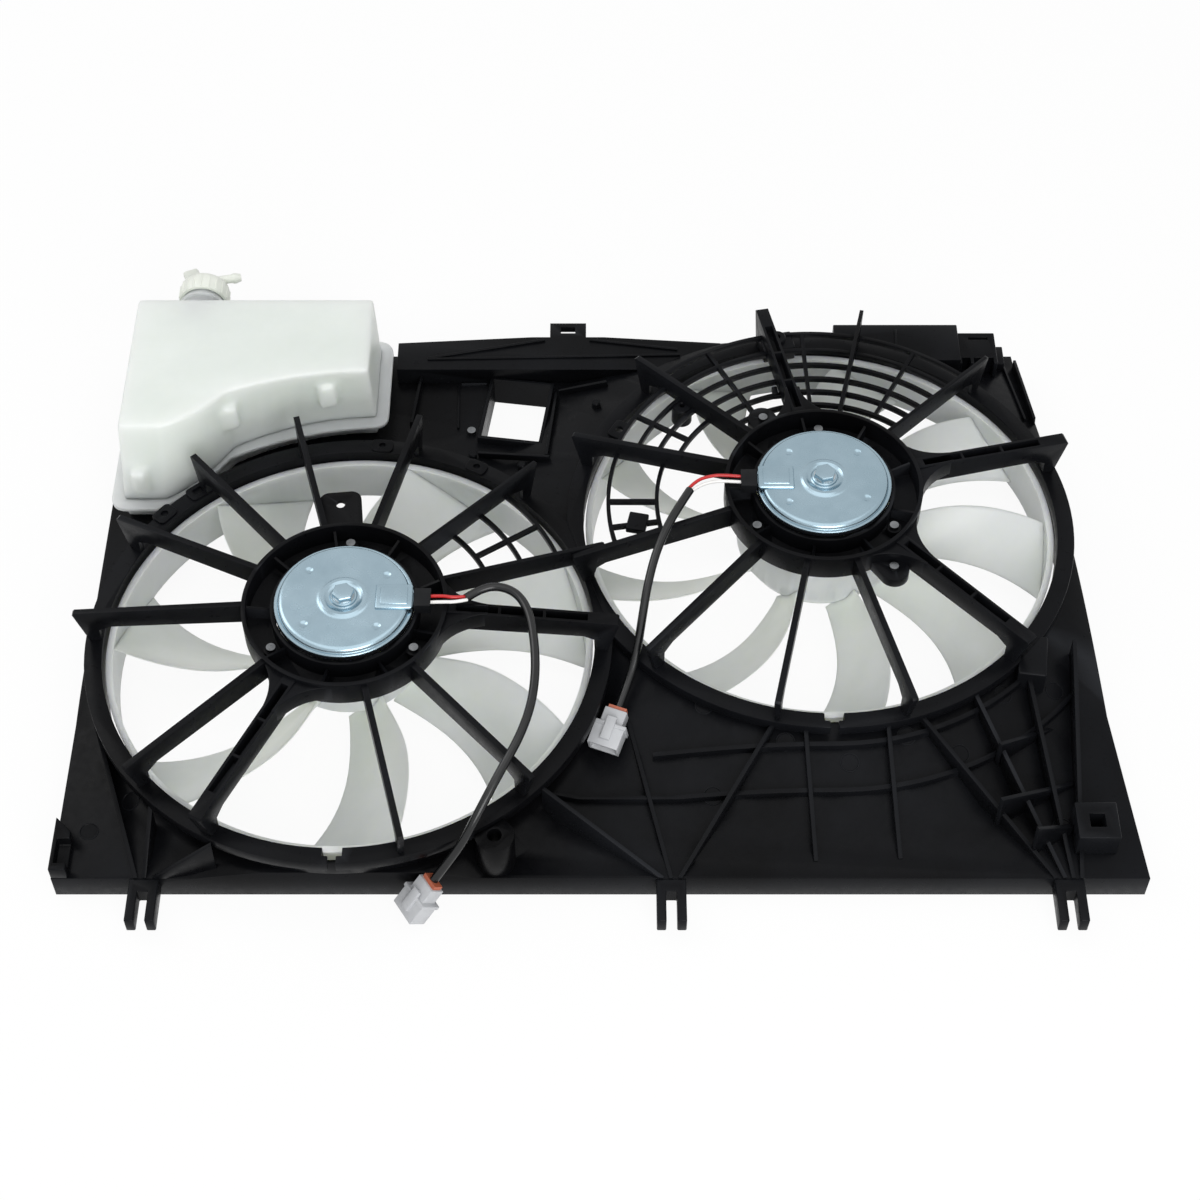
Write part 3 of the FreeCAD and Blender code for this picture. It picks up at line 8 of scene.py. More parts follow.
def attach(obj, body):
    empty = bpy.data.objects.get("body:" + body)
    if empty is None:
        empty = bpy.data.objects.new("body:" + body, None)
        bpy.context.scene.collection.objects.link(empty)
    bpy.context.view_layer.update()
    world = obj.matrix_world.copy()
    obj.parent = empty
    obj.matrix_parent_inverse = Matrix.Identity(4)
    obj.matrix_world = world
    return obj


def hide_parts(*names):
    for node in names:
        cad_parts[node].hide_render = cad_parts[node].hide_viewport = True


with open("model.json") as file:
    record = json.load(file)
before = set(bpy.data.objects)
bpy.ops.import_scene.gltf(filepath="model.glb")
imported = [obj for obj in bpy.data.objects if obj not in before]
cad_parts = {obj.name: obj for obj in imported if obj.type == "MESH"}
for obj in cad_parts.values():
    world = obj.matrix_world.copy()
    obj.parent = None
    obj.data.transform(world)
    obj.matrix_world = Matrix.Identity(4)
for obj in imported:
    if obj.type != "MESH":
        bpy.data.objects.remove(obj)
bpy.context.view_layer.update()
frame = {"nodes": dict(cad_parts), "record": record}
nodes = frame["nodes"]
print("frame loaded")

# The picture: one lens for the whole 1200 pixel frame, in metres and degrees
picture = {
    "pixels": 1200,
    "focalPixels": 2328.7,
    "sensor": 36.0,
    "elevation": 52.35,
    "distance": 1.7464,
    "lookAt": (-0.0003, -0.0371, 0.06),
}


def placeInScene(name, data):
    thing = bpy.data.objects.new(name, data)
    bpy.context.scene.collection.objects.link(thing)
    return thing


cameraData = bpy.data.cameras.new("pictureCamera")
cameraData.sensor_width = picture["sensor"]
cameraData.lens = picture["sensor"] * picture["focalPixels"] / picture["pixels"]
camera = placeInScene("pictureCamera", cameraData)
tilt = math.radians(picture["elevation"])
away = Vector((0, -math.cos(tilt), math.sin(tilt)))
camera.location = Vector(picture["lookAt"]) + away * picture["distance"]
camera.rotation_euler = (math.radians(90) - tilt, 0, 0)
bpy.context.scene.camera = camera
print("camera placed")


def hexColour(text):
    # sRGB hex to the linear values that a shader takes
    parts = [int(text[place:place + 2], 16) / 255 for place in (1, 3, 5)]
    linear = [part / 12.92 if part <= 0.04045 else ((part + 0.055) / 1.055) ** 2.4 for part in parts]
    return (*linear, 1.0)


def addNode(tree, kind, settings=None, links=None):
    node = tree.nodes.new(kind)
    for key, wanted in (settings or {}).items():
        if isinstance(key, int) or key in node.inputs:
            node.inputs[key].default_value = wanted
        else:
            setattr(node, key, wanted)
    for key, source in (links or {}).items():
        tree.links.new(source, node.inputs[key])
    return node


def newMaterial(name):
    material = bpy.data.materials.new(name)
    material.use_nodes = True
    tree = material.node_tree
    tree.nodes.clear()
    place = addNode(tree, "ShaderNodeTexCoord").outputs["Object"]
    return material, tree, place


def closeMaterial(tree, shader):
    addNode(tree, "ShaderNodeOutputMaterial", links={"Surface": shader.outputs[0]})


def patternScale(millimetres):
    # How often a noise repeats in a metre, from the size of one cloud or grain
    return 1000 / millimetres


def mouldedPolypropylene():
    # Talc-filled black polypropylene from a spark-eroded mould: dull black with flow clouds, which are
    # also painted sheen patches, and painted highlights on its corners.
    # Its 0.1 mm grain is too fine to show and is drawn ten times as coarse
    material, tree, place = newMaterial("mouldedPolypropylene")
    grain = addNode(tree, "ShaderNodeTexNoise", {"Scale": patternScale(1.1), "Detail": 3.0},
                    {"Vector": place})
    flowAndSheenClouds = addNode(tree, "ShaderNodeTexNoise",
                     {"Scale": patternScale(140), "Detail": 5.0, "Roughness": 0.6}, {"Vector": place})
    dust = addNode(tree, "ShaderNodeTexNoise",
                   {"Scale": patternScale(6), "Detail": 5.0, "Roughness": 0.7}, {"Vector": place})
    # The colour clouds are partly the moulding's flow marks and partly painted sheen: broad lighter
    # patches that stand in for reflections
    colour = addNode(tree, "ShaderNodeValToRGB", links={"Fac": flowAndSheenClouds.outputs["Fac"]})
    colour.color_ramp.elements[0].color = hexColour("#060607")
    colour.color_ramp.elements[0].position = 0.35
    colour.color_ramp.elements[1].color = hexColour("#121316")
    colour.color_ramp.elements[1].position = 0.68
    # Painted highlight: corners and rib edges are lightened by their pointiness, standing in for the
    # light that they catch
    corner = addNode(tree, "ShaderNodeNewGeometry").outputs["Pointiness"]
    paintedEdgeHighlight = addNode(tree, "ShaderNodeMapRange",
                   {"From Min": 0.54, "From Max": 0.66, "To Min": 0.0, "To Max": 0.45}, {"Value": corner})
    toneWithPaintedHighlight = addNode(tree, "ShaderNodeMix", {"data_type": "RGBA", 7: hexColour("#303236")},
                      {0: paintedEdgeHighlight.outputs["Result"], 6: colour.outputs["Color"]})
    sheen = addNode(tree, "ShaderNodeMapRange",
                    {"From Min": 0.35, "From Max": 0.7, "To Min": 0.26, "To Max": 0.42},
                    {"Value": dust.outputs["Fac"]})
    bump = addNode(tree, "ShaderNodeBump", {"Strength": 0.12, "Distance": 0.0002},
                   {"Height": grain.outputs["Fac"]})
    shader = addNode(tree, "ShaderNodeBsdfPrincipled", {"IOR": 1.49, "Specular IOR Level": 0.07},
                     {"Base Color": toneWithPaintedHighlight.outputs[2], "Roughness": sheen.outputs["Result"],
                      "Normal": bump.outputs["Normal"]})
    closeMaterial(tree, shader)
    return material


def naturalPolypropylene():
    # Unpigmented polypropylene of the fan wheels: milky, a little green in the thick parts, half gloss.
    # The tool's fine grain is drawn coarse enough to show
    material, tree, place = newMaterial("naturalPolypropylene")
    flow = addNode(tree, "ShaderNodeTexNoise", {"Scale": patternScale(45), "Detail": 3.0},
                   {"Vector": place})
    grain = addNode(tree, "ShaderNodeTexNoise", {"Scale": patternScale(1.7), "Detail": 2.0},
                    {"Vector": place})
    colour = addNode(tree, "ShaderNodeValToRGB", links={"Fac": flow.outputs["Fac"]})
    colour.color_ramp.elements[0].color = hexColour("#e2eadf")
    colour.color_ramp.elements[0].position = 0.3
    colour.color_ramp.elements[1].color = hexColour("#ecf2e9")
    colour.color_ramp.elements[1].position = 0.7
    bump = addNode(tree, "ShaderNodeBump", {"Strength": 0.05, "Distance": 0.0002},
                   {"Height": grain.outputs["Fac"]})
    shader = addNode(tree, "ShaderNodeBsdfPrincipled",
                     {"IOR": 1.49, "Roughness": 0.32, "Subsurface Weight": 0.9,
                      "Subsurface Scale": 0.012, "Subsurface Radius": (1.0, 1.0, 0.8)},
                     {"Base Color": colour.outputs["Color"], "Normal": bump.outputs["Normal"]})
    closeMaterial(tree, shader)
    return material


def blownPolyethylene():
    # Blow-moulded polyethylene of the reservoir: milky and soft, uneven where the wall is thin
    material, tree, place = newMaterial("blownPolyethylene")
    wall = addNode(tree, "ShaderNodeTexNoise",
                   {"Scale": patternScale(110), "Detail": 5.0, "Roughness": 0.62}, {"Vector": place})
    skin = addNode(tree, "ShaderNodeTexNoise", {"Scale": patternScale(4.2), "Detail": 3.0},
                   {"Vector": place})
    colour = addNode(tree, "ShaderNodeValToRGB", links={"Fac": wall.outputs["Fac"]})
    colour.color_ramp.elements[0].color = hexColour("#dce2dd")
    colour.color_ramp.elements[0].position = 0.3
    colour.color_ramp.elements[1].color = hexColour("#e6ebe7")
    colour.color_ramp.elements[1].position = 0.7
    bump = addNode(tree, "ShaderNodeBump", {"Strength": 0.08, "Distance": 0.0004},
                   {"Height": skin.outputs["Fac"]})
    shader = addNode(tree, "ShaderNodeBsdfPrincipled",
                     {"IOR": 1.51, "Roughness": 0.34, "Subsurface Weight": 0.85,
                      "Subsurface Scale": 0.035, "Subsurface Radius": (1.0, 0.98, 0.9)},
                     {"Base Color": colour.outputs["Color"], "Normal": bump.outputs["Normal"]})
    closeMaterial(tree, shader)
    return material


def plainPlastic(name, colourText, roughness, grainSize, grainDepth, lighter=None, ior=1.5, shine=0.5):
    # An injection-moulded small part: one colour with a faint flow cloud and its tool's grain, which
    # is a tenth of a millimetre on the real part and is drawn coarse enough to show
    material, tree, place = newMaterial(name)
    flow = addNode(tree, "ShaderNodeTexNoise", {"Scale": patternScale(17), "Detail": 3.0},
                   {"Vector": place})
    grain = addNode(tree, "ShaderNodeTexNoise", {"Scale": patternScale(grainSize), "Detail": 2.0},
                    {"Vector": place})
    colour = addNode(tree, "ShaderNodeValToRGB", links={"Fac": flow.outputs["Fac"]})
    colour.color_ramp.elements[0].color = hexColour(colourText)
    colour.color_ramp.elements[0].position = 0.3
    colour.color_ramp.elements[1].color = hexColour(lighter or colourText)
    colour.color_ramp.elements[1].position = 0.7
    bump = addNode(tree, "ShaderNodeBump", {"Strength": 0.1, "Distance": grainDepth},
                   {"Height": grain.outputs["Fac"]})
    shader = addNode(tree, "ShaderNodeBsdfPrincipled",
                     {"IOR": ior, "Roughness": roughness, "Specular IOR Level": shine},
                     {"Base Color": colour.outputs["Color"], "Normal": bump.outputs["Normal"]})
    closeMaterial(tree, shader)
    return material


def sheetMetal(name, darkText, lightText, roughLow, roughHigh, spangle, drawn, relief=0.08):
    # Rolled or turned metal: colour clouds of its plating and the fine marks of its forming, which
    # are drawn coarser than they are
    material, tree, place = newMaterial(name)
    cloud = addNode(tree, "ShaderNodeTexNoise",
                    {"Scale": patternScale(spangle), "Detail": 4.0, "Roughness": 0.6}, {"Vector": place})
    marks = addNode(tree, "ShaderNodeTexNoise", {"Scale": patternScale(drawn), "Detail": 4.0},
                    {"Vector": place})
    colour = addNode(tree, "ShaderNodeValToRGB", links={"Fac": cloud.outputs["Fac"]})
    colour.color_ramp.elements[0].color = hexColour(darkText)
    colour.color_ramp.elements[0].position = 0.35
    colour.color_ramp.elements[1].color = hexColour(lightText)
    colour.color_ramp.elements[1].position = 0.65
    rough = addNode(tree, "ShaderNodeMapRange",
                    {"From Min": 0.3, "From Max": 0.7, "To Min": roughLow, "To Max": roughHigh},
                    {"Value": marks.outputs["Fac"]})
    bump = addNode(tree, "ShaderNodeBump", {"Strength": relief, "Distance": 0.0002},
                   {"Height": marks.outputs["Fac"]})
    shader = addNode(tree, "ShaderNodeBsdfPrincipled", {"Metallic": 1.0},
                     {"Base Color": colour.outputs["Color"], "Roughness": rough.outputs["Result"],
                      "Normal": bump.outputs["Normal"]})
    closeMaterial(tree, shader)
    return material


finishes = {
    "shroud_plastic": mouldedPolypropylene(),
    "fan_plastic": naturalPolypropylene(),
    "tank_plastic": blownPolyethylene(),
    # Natural polypropylene, moulded: milky white with half gloss
    "cap_plastic": plainPlastic("capPolypropylene", "#e2e6dd", 0.34, 2.0, 0.0003, "#edf0e8"),
    # Pressed sheet, zinc-plated and passivated: pale blue metal, nearly a mirror
    "zinc_plate": sheetMetal("zincPlatedSheet", "#8ea3ae", "#a0b4bf", 0.23, 0.29, 80.0, 11.0, 0.02),
    # Deep-drawn steel under black paint: soft black
    "can_steel": plainPlastic("blackPaintedCan", "#101113", 0.42, 1.4, 0.0002, "#16171a", shine=0.1),
    # Zinc-plated screws and nuts: bright grey metal
    "bright_steel": sheetMetal("zincPlatedScrew", "#606264", "#808284", 0.24, 0.38, 11.0, 1.4),
    # Ground bearing steel: white metal
    "bearing_steel": sheetMetal("groundSteel", "#b0b0b0", "#cfcfcf", 0.15, 0.28, 17.0, 1.3),
    # Sintered ferrite: dull dark grey
    "ferrite": plainPlastic("sinteredFerrite", "#26272a", 0.6, 2.0, 0.0003, "#303135"),
    # Varnished copper over the core: glossy brown metal
    "core_steel": sheetMetal("varnishedCopper", "#8a4f2a", "#a9683a", 0.3, 0.45, 11.0, 2.0),
    # Pressed carbon: dull black
    "carbon": plainPlastic("pressedCarbon", "#1b1b1c", 0.55, 1.7, 0.0002, "#242425"),
    # Black nylon, moulded: soft black
    "plug_plastic": plainPlastic("blackNylon", "#121315", 0.4, 1.7, 0.0002, "#191a1c", shine=0.12),
    # Extruded wire covers: smooth and half gloss
    "red_insulation": plainPlastic("redWireCover", "#b81a1c", 0.28, 3.3, 0.0001, "#c32223"),
    "white_insulation": plainPlastic("whiteWireCover", "#e9e8e6", 0.28, 3.3, 0.0001, "#f0efed"),
    # Extruded sleeve: glossy black
    "sleeve_plastic": plainPlastic("glossySleeve", "#0e0f10", 0.22, 6.0, 0.0003, "#131415",
                                   ior=1.54, shine=0.35),
    # Grey nylon, moulded: pale grey, half gloss
    "connector_plastic": plainPlastic("greyNylon", "#adafb2", 0.4, 2.0, 0.0002, "#b9bbbe"),
    # Silicone rubber: dull brick red
    "seal_rubber": plainPlastic("siliconeSeal", "#a4563c", 0.45, 2.5, 0.0002, "#b06045"),
}

slotOf = {part["node"]: part["material_slot"] for part in frame["record"]["subparts"]}
for name, node in nodes.items():
    node.data.materials.clear()
    node.data.materials.append(finishes[slotOf[name]])
print("materials made")


def deselectAll():
    bpy.ops.object.select_all(action="DESELECT")


def takeUp(piece):
    deselectAll()
    piece.select_set(True)
    bpy.context.view_layer.objects.active = piece


# How a form's skin is welded, cleaned of flat seams, rounded and smoothed, in metres and degrees
skinRule = {"copyWeld": 0.00002, "weld": 0.00001, "flat": 0.6, "roundFrom": 35.0, "smoothTo": 32.0}


def mouldedCopy(name, body, radius):
    # The node's own form, its corners rounded as in the mould where it has a radius
    piece = placeInScene(name + "Moulded", nodes[name].data.copy())
    takeUp(piece)
    bpy.ops.object.mode_set(mode="EDIT")
    bpy.ops.mesh.select_all(action="SELECT")
    bpy.ops.mesh.remove_doubles(threshold=skinRule["copyWeld"])
    if radius:
        bpy.ops.mesh.dissolve_limited(angle_limit=math.radians(skinRule["flat"]))
    bpy.ops.object.mode_set(mode="OBJECT")
    if radius:
        edge = piece.modifiers.new("mouldRadius", "BEVEL")
        edge.width = radius
        edge.segments = 2
        edge.limit_method = "ANGLE"
        edge.angle_limit = math.radians(skinRule["roundFrom"])
        bpy.ops.object.modifier_apply(modifier=edge.name)
    bpy.ops.object.shade_smooth_by_angle(angle=math.radians(skinRule["smoothTo"]))
    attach(piece, body)
    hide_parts(name)
    return piece


# The leads, from motor to connector, in metres: the routes that the part's source gives in
# millimetres. A lead cuts the corners of its route and is that much shorter
leads = {
    "wire": 0.0026,
    "sleeve": 0.0065,
    "lengthShare": 0.985,
    "roundSteps": 6,
    "runSteps": 12,
    "left_red_wire": ((-0.132, -0.0694, 0.1055), (-0.115, -0.0696, 0.1076), (-0.1065, -0.072, 0.1079),
                      (-0.0985, -0.0694, 0.106)),
    "left_white_wire": ((-0.132, -0.0746, 0.1055), (-0.1146, -0.0754, 0.1076), (-0.1048, -0.0759, 0.1079),
                        (-0.0965, -0.0722, 0.106)),
    "left_lead_sleeve": (
        (-0.0975, -0.0708, 0.106), (-0.0863, -0.0624, 0.1072), (-0.0724, -0.0612, 0.1078),
        (-0.0598, -0.0685, 0.108), (-0.0513, -0.0844, 0.1075), (-0.0471, -0.1101, 0.106),
        (-0.0459, -0.138, 0.1045), (-0.0488, -0.165, 0.1033), (-0.0565, -0.1905, 0.102),
        (-0.0685, -0.214, 0.098), (-0.084, -0.2395, 0.083), (-0.0955, -0.2515, 0.063),
        (-0.107, -0.258, 0.046), (-0.1165, -0.264, 0.0335)),
    "right_red_wire": ((0.115, 0.0446, 0.1055), (0.094, 0.0456, 0.1078), (0.081, 0.0432, 0.1086),
                       (0.0715, 0.0385, 0.1084), (0.0658, 0.031, 0.108)),
    "right_white_wire": ((0.115, 0.0394, 0.1055), (0.0952, 0.0396, 0.1078), (0.084, 0.0379, 0.1086),
                         (0.075, 0.0346, 0.1084), (0.0688, 0.0294, 0.108)),
    "right_lead_sleeve": (
        (0.0673, 0.0302, 0.108), (0.058, 0.0126, 0.1085), (0.049, -0.0055, 0.1065),
        (0.0406, -0.026, 0.101), (0.0346, -0.049, 0.093), (0.0306, -0.0702, 0.08),
        (0.0268, -0.0907, 0.0665), (0.0205, -0.1087, 0.053), (0.0133, -0.127, 0.0472)),
}


def makeCord(node, diameter, withPieces=()):
    curve = bpy.data.curves.new(node + "Cord", "CURVE")
    curve.dimensions = "3D"
    curve.bevel_depth = diameter / 2
    curve.bevel_resolution = leads["roundSteps"]
    curve.resolution_u = leads["runSteps"]
    curve.use_fill_caps = True
    spline = curve.splines.new("NURBS")
    points = leads[node]
    spline.points.add(len(points) - 1)
    for point, place in zip(spline.points, points):
        point.co = (*place, 1)
    spline.order_u = 3
    spline.use_endpoint_u = True
    curve.materials.append(finishes[slotOf[node]])
    cord = placeInScene(node + "Cord", curve)
    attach(cord, "shroud")
    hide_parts(node)


for side in ("left", "right"):
    makeCord(side + "_red_wire", leads["wire"])
    makeCord(side + "_white_wire", leads["wire"])
    makeCord(side + "_lead_sleeve", leads["sleeve"],
             [mouldedCopy(side + "_connector", "shroud", 0.0011), nodes[side + "_connector_seals"]])
    mouldedCopy(side + "_lead_plug", "shroud", 0.0008)
print("leads laid")

# The edge radius of every moulding in metres; drawn cans and turned rings have none
mouldings = {
    "shroud": {
        "shroud_panel": 0.0012, "left_ring": 0.0008, "right_ring": 0.0008,
        "left_motor_mount": 0.0006, "right_motor_mount": 0.0006, "left_spokes": 0.0009,
        "right_spokes": 0.0009, "left_guard": 0.0007, "right_guard": 0.0007,
        "panel_ribs": 0.0007, "fork_feet": 0.0010, "top_bracket": 0.0009,
        "corner_duct": 0.0012, "window_frame": 0.0008, "cord_boss": 0.0010,
        "corner_clip": 0.0009, "side_clip_box": 0.0009,
        "left_motor_can": 0.0, "right_motor_can": 0.0,
    },
    "left_fan": {"left_fan_hub": 0.0012, "left_fan_ring": 0.0},
    "right_fan": {"right_fan_hub": 0.0012, "right_fan_ring": 0.0},
}
for body, pieces in mouldings.items():
    for name, radius in pieces.items():
        mouldedCopy(name, body, radius)
print("mouldings finished")


def dress(piece, body, slot, smoothTo=skinRule["smoothTo"]):
    takeUp(piece)
    bpy.ops.object.mode_set(mode="EDIT")
    bpy.ops.mesh.select_all(action="SELECT")
    bpy.ops.mesh.remove_doubles(threshold=skinRule["weld"])
    bpy.ops.mesh.normals_make_consistent(inside=False)
    bpy.ops.object.mode_set(mode="OBJECT")
    piece.data.materials.clear()
    piece.data.materials.append(finishes[slot])
    bpy.ops.object.shade_smooth_by_angle(angle=math.radians(smoothTo))
    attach(piece, body)
    return piece


def meshPiece(name, points, faces):
    # Points come in millimetres
    mesh = bpy.data.meshes.new(name)
    mesh.from_pydata([Vector(point) / 1000 for point in points], [], faces)
    piece = placeInScene(name, mesh)
    takeUp(piece)
    return piece


def applyModifier(piece, kind, **settings):
    modifier = piece.modifiers.new(kind.lower(), kind)
    for key, wanted in settings.items():
        setattr(modifier, key, wanted)
    takeUp(piece)
    bpy.ops.object.modifier_apply(modifier=modifier.name)


def standing(x, y, z=0.0, turn=0.0):
    place = Matrix.Translation(Vector((x, y, z)) / 1000)
    return place @ Matrix.Rotation(math.radians(turn), 4, "Z")


def facing(start, direction):
    place = Matrix.Translation(Vector(start) / 1000)
    return place @ Vector(direction).to_track_quat("Z", "Y").to_matrix().to_4x4()


def turnedForm(name, section, where, steps=48):
    # A half section, radius and height in millimetres, spun once round its axis
    curve = bpy.data.curves.new(name, "CURVE")
    curve.dimensions = "3D"
    spline = curve.splines.new("POLY")
    spline.points.add(len(section) - 1)
    for point, (radius, height) in zip(spline.points, section):
        point.co = (radius / 1000, 0, height / 1000, 1)
    piece = placeInScene(name, curve)
    takeUp(piece)
    bpy.ops.object.convert(target="MESH")
    bpy.ops.object.mode_set(mode="EDIT")
    bpy.ops.mesh.select_all(action="SELECT")
    bpy.ops.mesh.spin(steps=steps, angle=math.tau, center=(0, 0, 0), axis=(0, 0, 1))
    bpy.ops.mesh.select_all(action="SELECT")
    bpy.ops.mesh.remove_doubles(threshold=skinRule["weld"])
    bpy.ops.mesh.normals_make_consistent(inside=False)
    bpy.ops.object.mode_set(mode="OBJECT")
    piece.data.transform(where)
    return piece


def boxForm(name, size, where, radius=0.8):
    # A moulded block, its middle at the place given, with rounded edges
    deselectAll()
    bpy.ops.mesh.primitive_cube_add(size=0.001, location=(0, 0, 0))
    piece = bpy.context.active_object
    piece.name = name
    bpy.ops.object.mode_set(mode="EDIT")
    bpy.ops.transform.resize(value=size, center_override=(0, 0, 0))
    bpy.ops.mesh.bevel(offset=radius / 1000, segments=3)
    bpy.ops.object.mode_set(mode="OBJECT")
    piece.data.transform(where)
    return piece


def bowPoints(start, pull, end, shares):
    # Points at these shares of the way along a bow that leaves start toward pull and ends at end
    return [start * (1 - t) ** 2 + pull * 2 * t * (1 - t) + end * t ** 2 for t in shares]


def roundedOutline(corners, steps=6):
    # Corners are x, y and how far the rounding reaches along each side
    outline = []
    for index, (x, y, reach) in enumerate(corners):
        corner = Vector((x, y))
        beside = Vector(corners[(index + 1) % len(corners)][:2])
        before = (Vector(corners[index - 1][:2]) - corner).normalized() * reach + corner
        after = (beside - corner).normalized() * reach + corner
        shares = [step / steps for step in range(steps + 1)] if reach else [0]
        outline += bowPoints(before, corner, after, shares)
    return outline


def circleOutline(radius, steps=28):
    angles = [math.tau * step / steps for step in range(steps)]
    return [Vector((radius * math.cos(angle), radius * math.sin(angle))) for angle in angles]


def flatForm(name, outlines, low, high, edge, where):
    # A flat moulding: its outline, then its holes, filled and with rounded edges
    curve = bpy.data.curves.new(name, "CURVE")
    curve.dimensions = "2D"
    curve.fill_mode = "BOTH"
    curve.extrude = ((high - low) / 2 - edge) / 1000
    curve.bevel_depth = edge / 1000
    curve.bevel_resolution = 2
    curve.offset = -edge / 1000
    for outline in outlines:
        spline = curve.splines.new("POLY")
        spline.points.add(len(outline) - 1)
        for point, place in zip(spline.points, outline):
            point.co = (place[0] / 1000, place[1] / 1000, 0, 1)
        spline.use_cyclic_u = True
    piece = placeInScene(name, curve)
    takeUp(piece)
    bpy.ops.object.convert(target="MESH")
    piece.data.transform(where @ Matrix.Translation((0, 0, (low + high) / 2000)))
    return piece


def joined(parts):
    deselectAll()
    for part in parts:
        part.select_set(True)
    bpy.context.view_layer.objects.active = parts[0]
    bpy.ops.object.join()
    return parts[0]


# The two wheels and motors, in millimetres and degrees
fans = {
    "left": {"place": (-186, -72), "count": 7, "phase": -90, "hub": 52.5, "nose": 42, "root": 44,
             "tip": 86, "lead": 0, "dimples": (137.5, 34.1, -138.2, -45.9)},
    "right": {"place": (169, 42), "count": 9, "phase": -88, "hub": 63, "nose": 57, "root": 32,
              "tip": 62, "lead": 180, "dimples": (135.1, 43.9, -139.6, -33.0)},
}

# What both wheels share. Chords grow with a power of the span, pitch falls by the untwist, and the
# blade is thicker over the root's share of the span; it bites into hub and ring so as to join them
wheel = {"ring": 175.5, "middle": 32.5, "thick": 2.4, "camber": 0.06, "shoulder": 38, "turn": 27,
         "chordPower": 1.2, "rootPitch": 52, "untwist": 27, "rootGrowth": 1.5, "rootShare": 0.1,
         "edgeHalf": 0.3, "bellyHalf": 0.2, "edgeRound": 8, "hubBite": 0.6, "ringBite": 0.5,
         "spanSteps": 22, "chordSteps": 24,
         "sweep": ((-0.08, 0.06), (0.2, 0.105), (0.5, 0.13), (0.8, 0.09), (1.05, 0.0))}


def sweepAt(share):
    # How far the blade's middle line lies beside the radius, through the five drawn sections
    total = 0
    for here, height in wheel["sweep"]:
        for other, _ in wheel["sweep"]:
            if other != here:
                height *= (share - other) / (here - other)
        total += height
    return total * wheel["ring"]


def bladeSection(facts, share):
    # One closed section: a cambered plate with rounded edges, thicker where it grows out of the hub
    chord = facts["root"] + (facts["tip"] - facts["root"]) * share ** wheel["chordPower"]
    pitch = math.radians(wheel["rootPitch"] - wheel["untwist"] * share)
    growth = 1 + wheel["rootGrowth"] * max(0, 1 - share / wheel["rootShare"]) ** 2
    steps = wheel["chordSteps"]
    marks = [(step, 1) for step in range(steps + 1)]
    marks += [(step, -1) for step in range(steps - 1, 0, -1)]
    section = []
    for step, face in marks:
        reach = -math.cos(math.pi * step / steps)
        bow = max(0, 1 - reach ** 2)
        rounding = min(1, math.sqrt(wheel["edgeRound"] * bow))
        half = wheel["thick"] * (wheel["edgeHalf"] + wheel["bellyHalf"] * bow) * rounding * growth
        rise = face * half - wheel["camber"] * chord * bow
        side = sweepAt(share) + math.cos(pitch) * reach * chord / 2 - math.sin(pitch) * rise
        height = wheel["middle"] + math.sin(pitch) * reach * chord / 2 + math.cos(pitch) * rise
        cone = min(1, max(0, (wheel["shoulder"] - height) / (wheel["shoulder"] - wheel["turn"])))
        hub = facts["hub"] - cone * (facts["hub"] - facts["nose"]) - wheel["hubBite"]
        inner = math.sqrt(hub ** 2 - side ** 2)
        outer = math.sqrt((wheel["ring"] + wheel["ringBite"]) ** 2 - side ** 2)
        section.append(Vector((inner + (outer - inner) * share, side, height)))
    return section


def makeBlades(side):
    facts = fans[side]
    rows = wheel["spanSteps"]
    sections = [bladeSection(facts, step / rows) for step in range(rows + 1)]
    around = len(sections[0])
    middle = Vector((*facts["place"], 0))
    points = []
    faces = []
    for blade in range(facts["count"]):
        turn = Matrix.Rotation(math.radians(facts["phase"] + 360 / facts["count"] * blade), 3, "Z")
        first = len(points)
        points += [turn @ point + middle for section in sections for point in section]
        for row in range(rows):
            for mark in range(around):
                here = first + row * around + mark
                beside = first + row * around + (mark + 1) % around
                faces.append((here, beside, beside + around, here + around))
        faces.append(tuple(range(first, first + around)))
        faces.append(tuple(range(first + rows * around, first + (rows + 1) * around)))
    piece = dress(meshPiece(side + "Blades", points, faces), side + "_fan", "fan_plastic",
                  smoothTo=50.0)
    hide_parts(side + "_fan_blades")


# The end plate: rolled rim and ring bead as a half section, then dimples, brush bulge and boss
endPlate = {
    "section": ((0, 111.2), (8.6, 111.2), (9.4, 110.6), (9.8, 109.2), (10.6, 108.6), (12.2, 108.7),
                (13.2, 109.3), (14.4, 110.0), (16.6, 110.0), (17.8, 109.3), (18.8, 108.7),
                (20.4, 108.6), (44.2, 108.6), (46.0, 108.4), (47.2, 107.7), (47.9, 106.6),
                (48.1, 105.6), (48.5, 105.1), (49.2, 105.3), (50.2, 105.2), (50.8, 104.7),
                (51.0, 104.0), (50.9, 103.55), (47.0, 103.55), (46.6, 106.2), (45.0, 107.1),
                (0, 107.1)),
    "markCircle": 36.5,
    "dimpleRadius": 6.2,
    "dimpleHeight": 113.9,
    "bulge": (("BulgeLow", (27, 22, 3.0), 108.8, 1.3), ("BulgeTop", (20, 15.5, 2.0), 110.0, 0.7)),
    "bossRadius": 8.3,
    "bossTurn": 15,
    "bossHeights": (110.5, 116.0),
    "bossEdge": 1.0,
}


def onPlate(side, angle):
    x, y = fans[side]["place"]
    turn = math.radians(angle)
    return x + endPlate["markCircle"] * math.cos(turn), y + endPlate["markCircle"] * math.sin(turn)


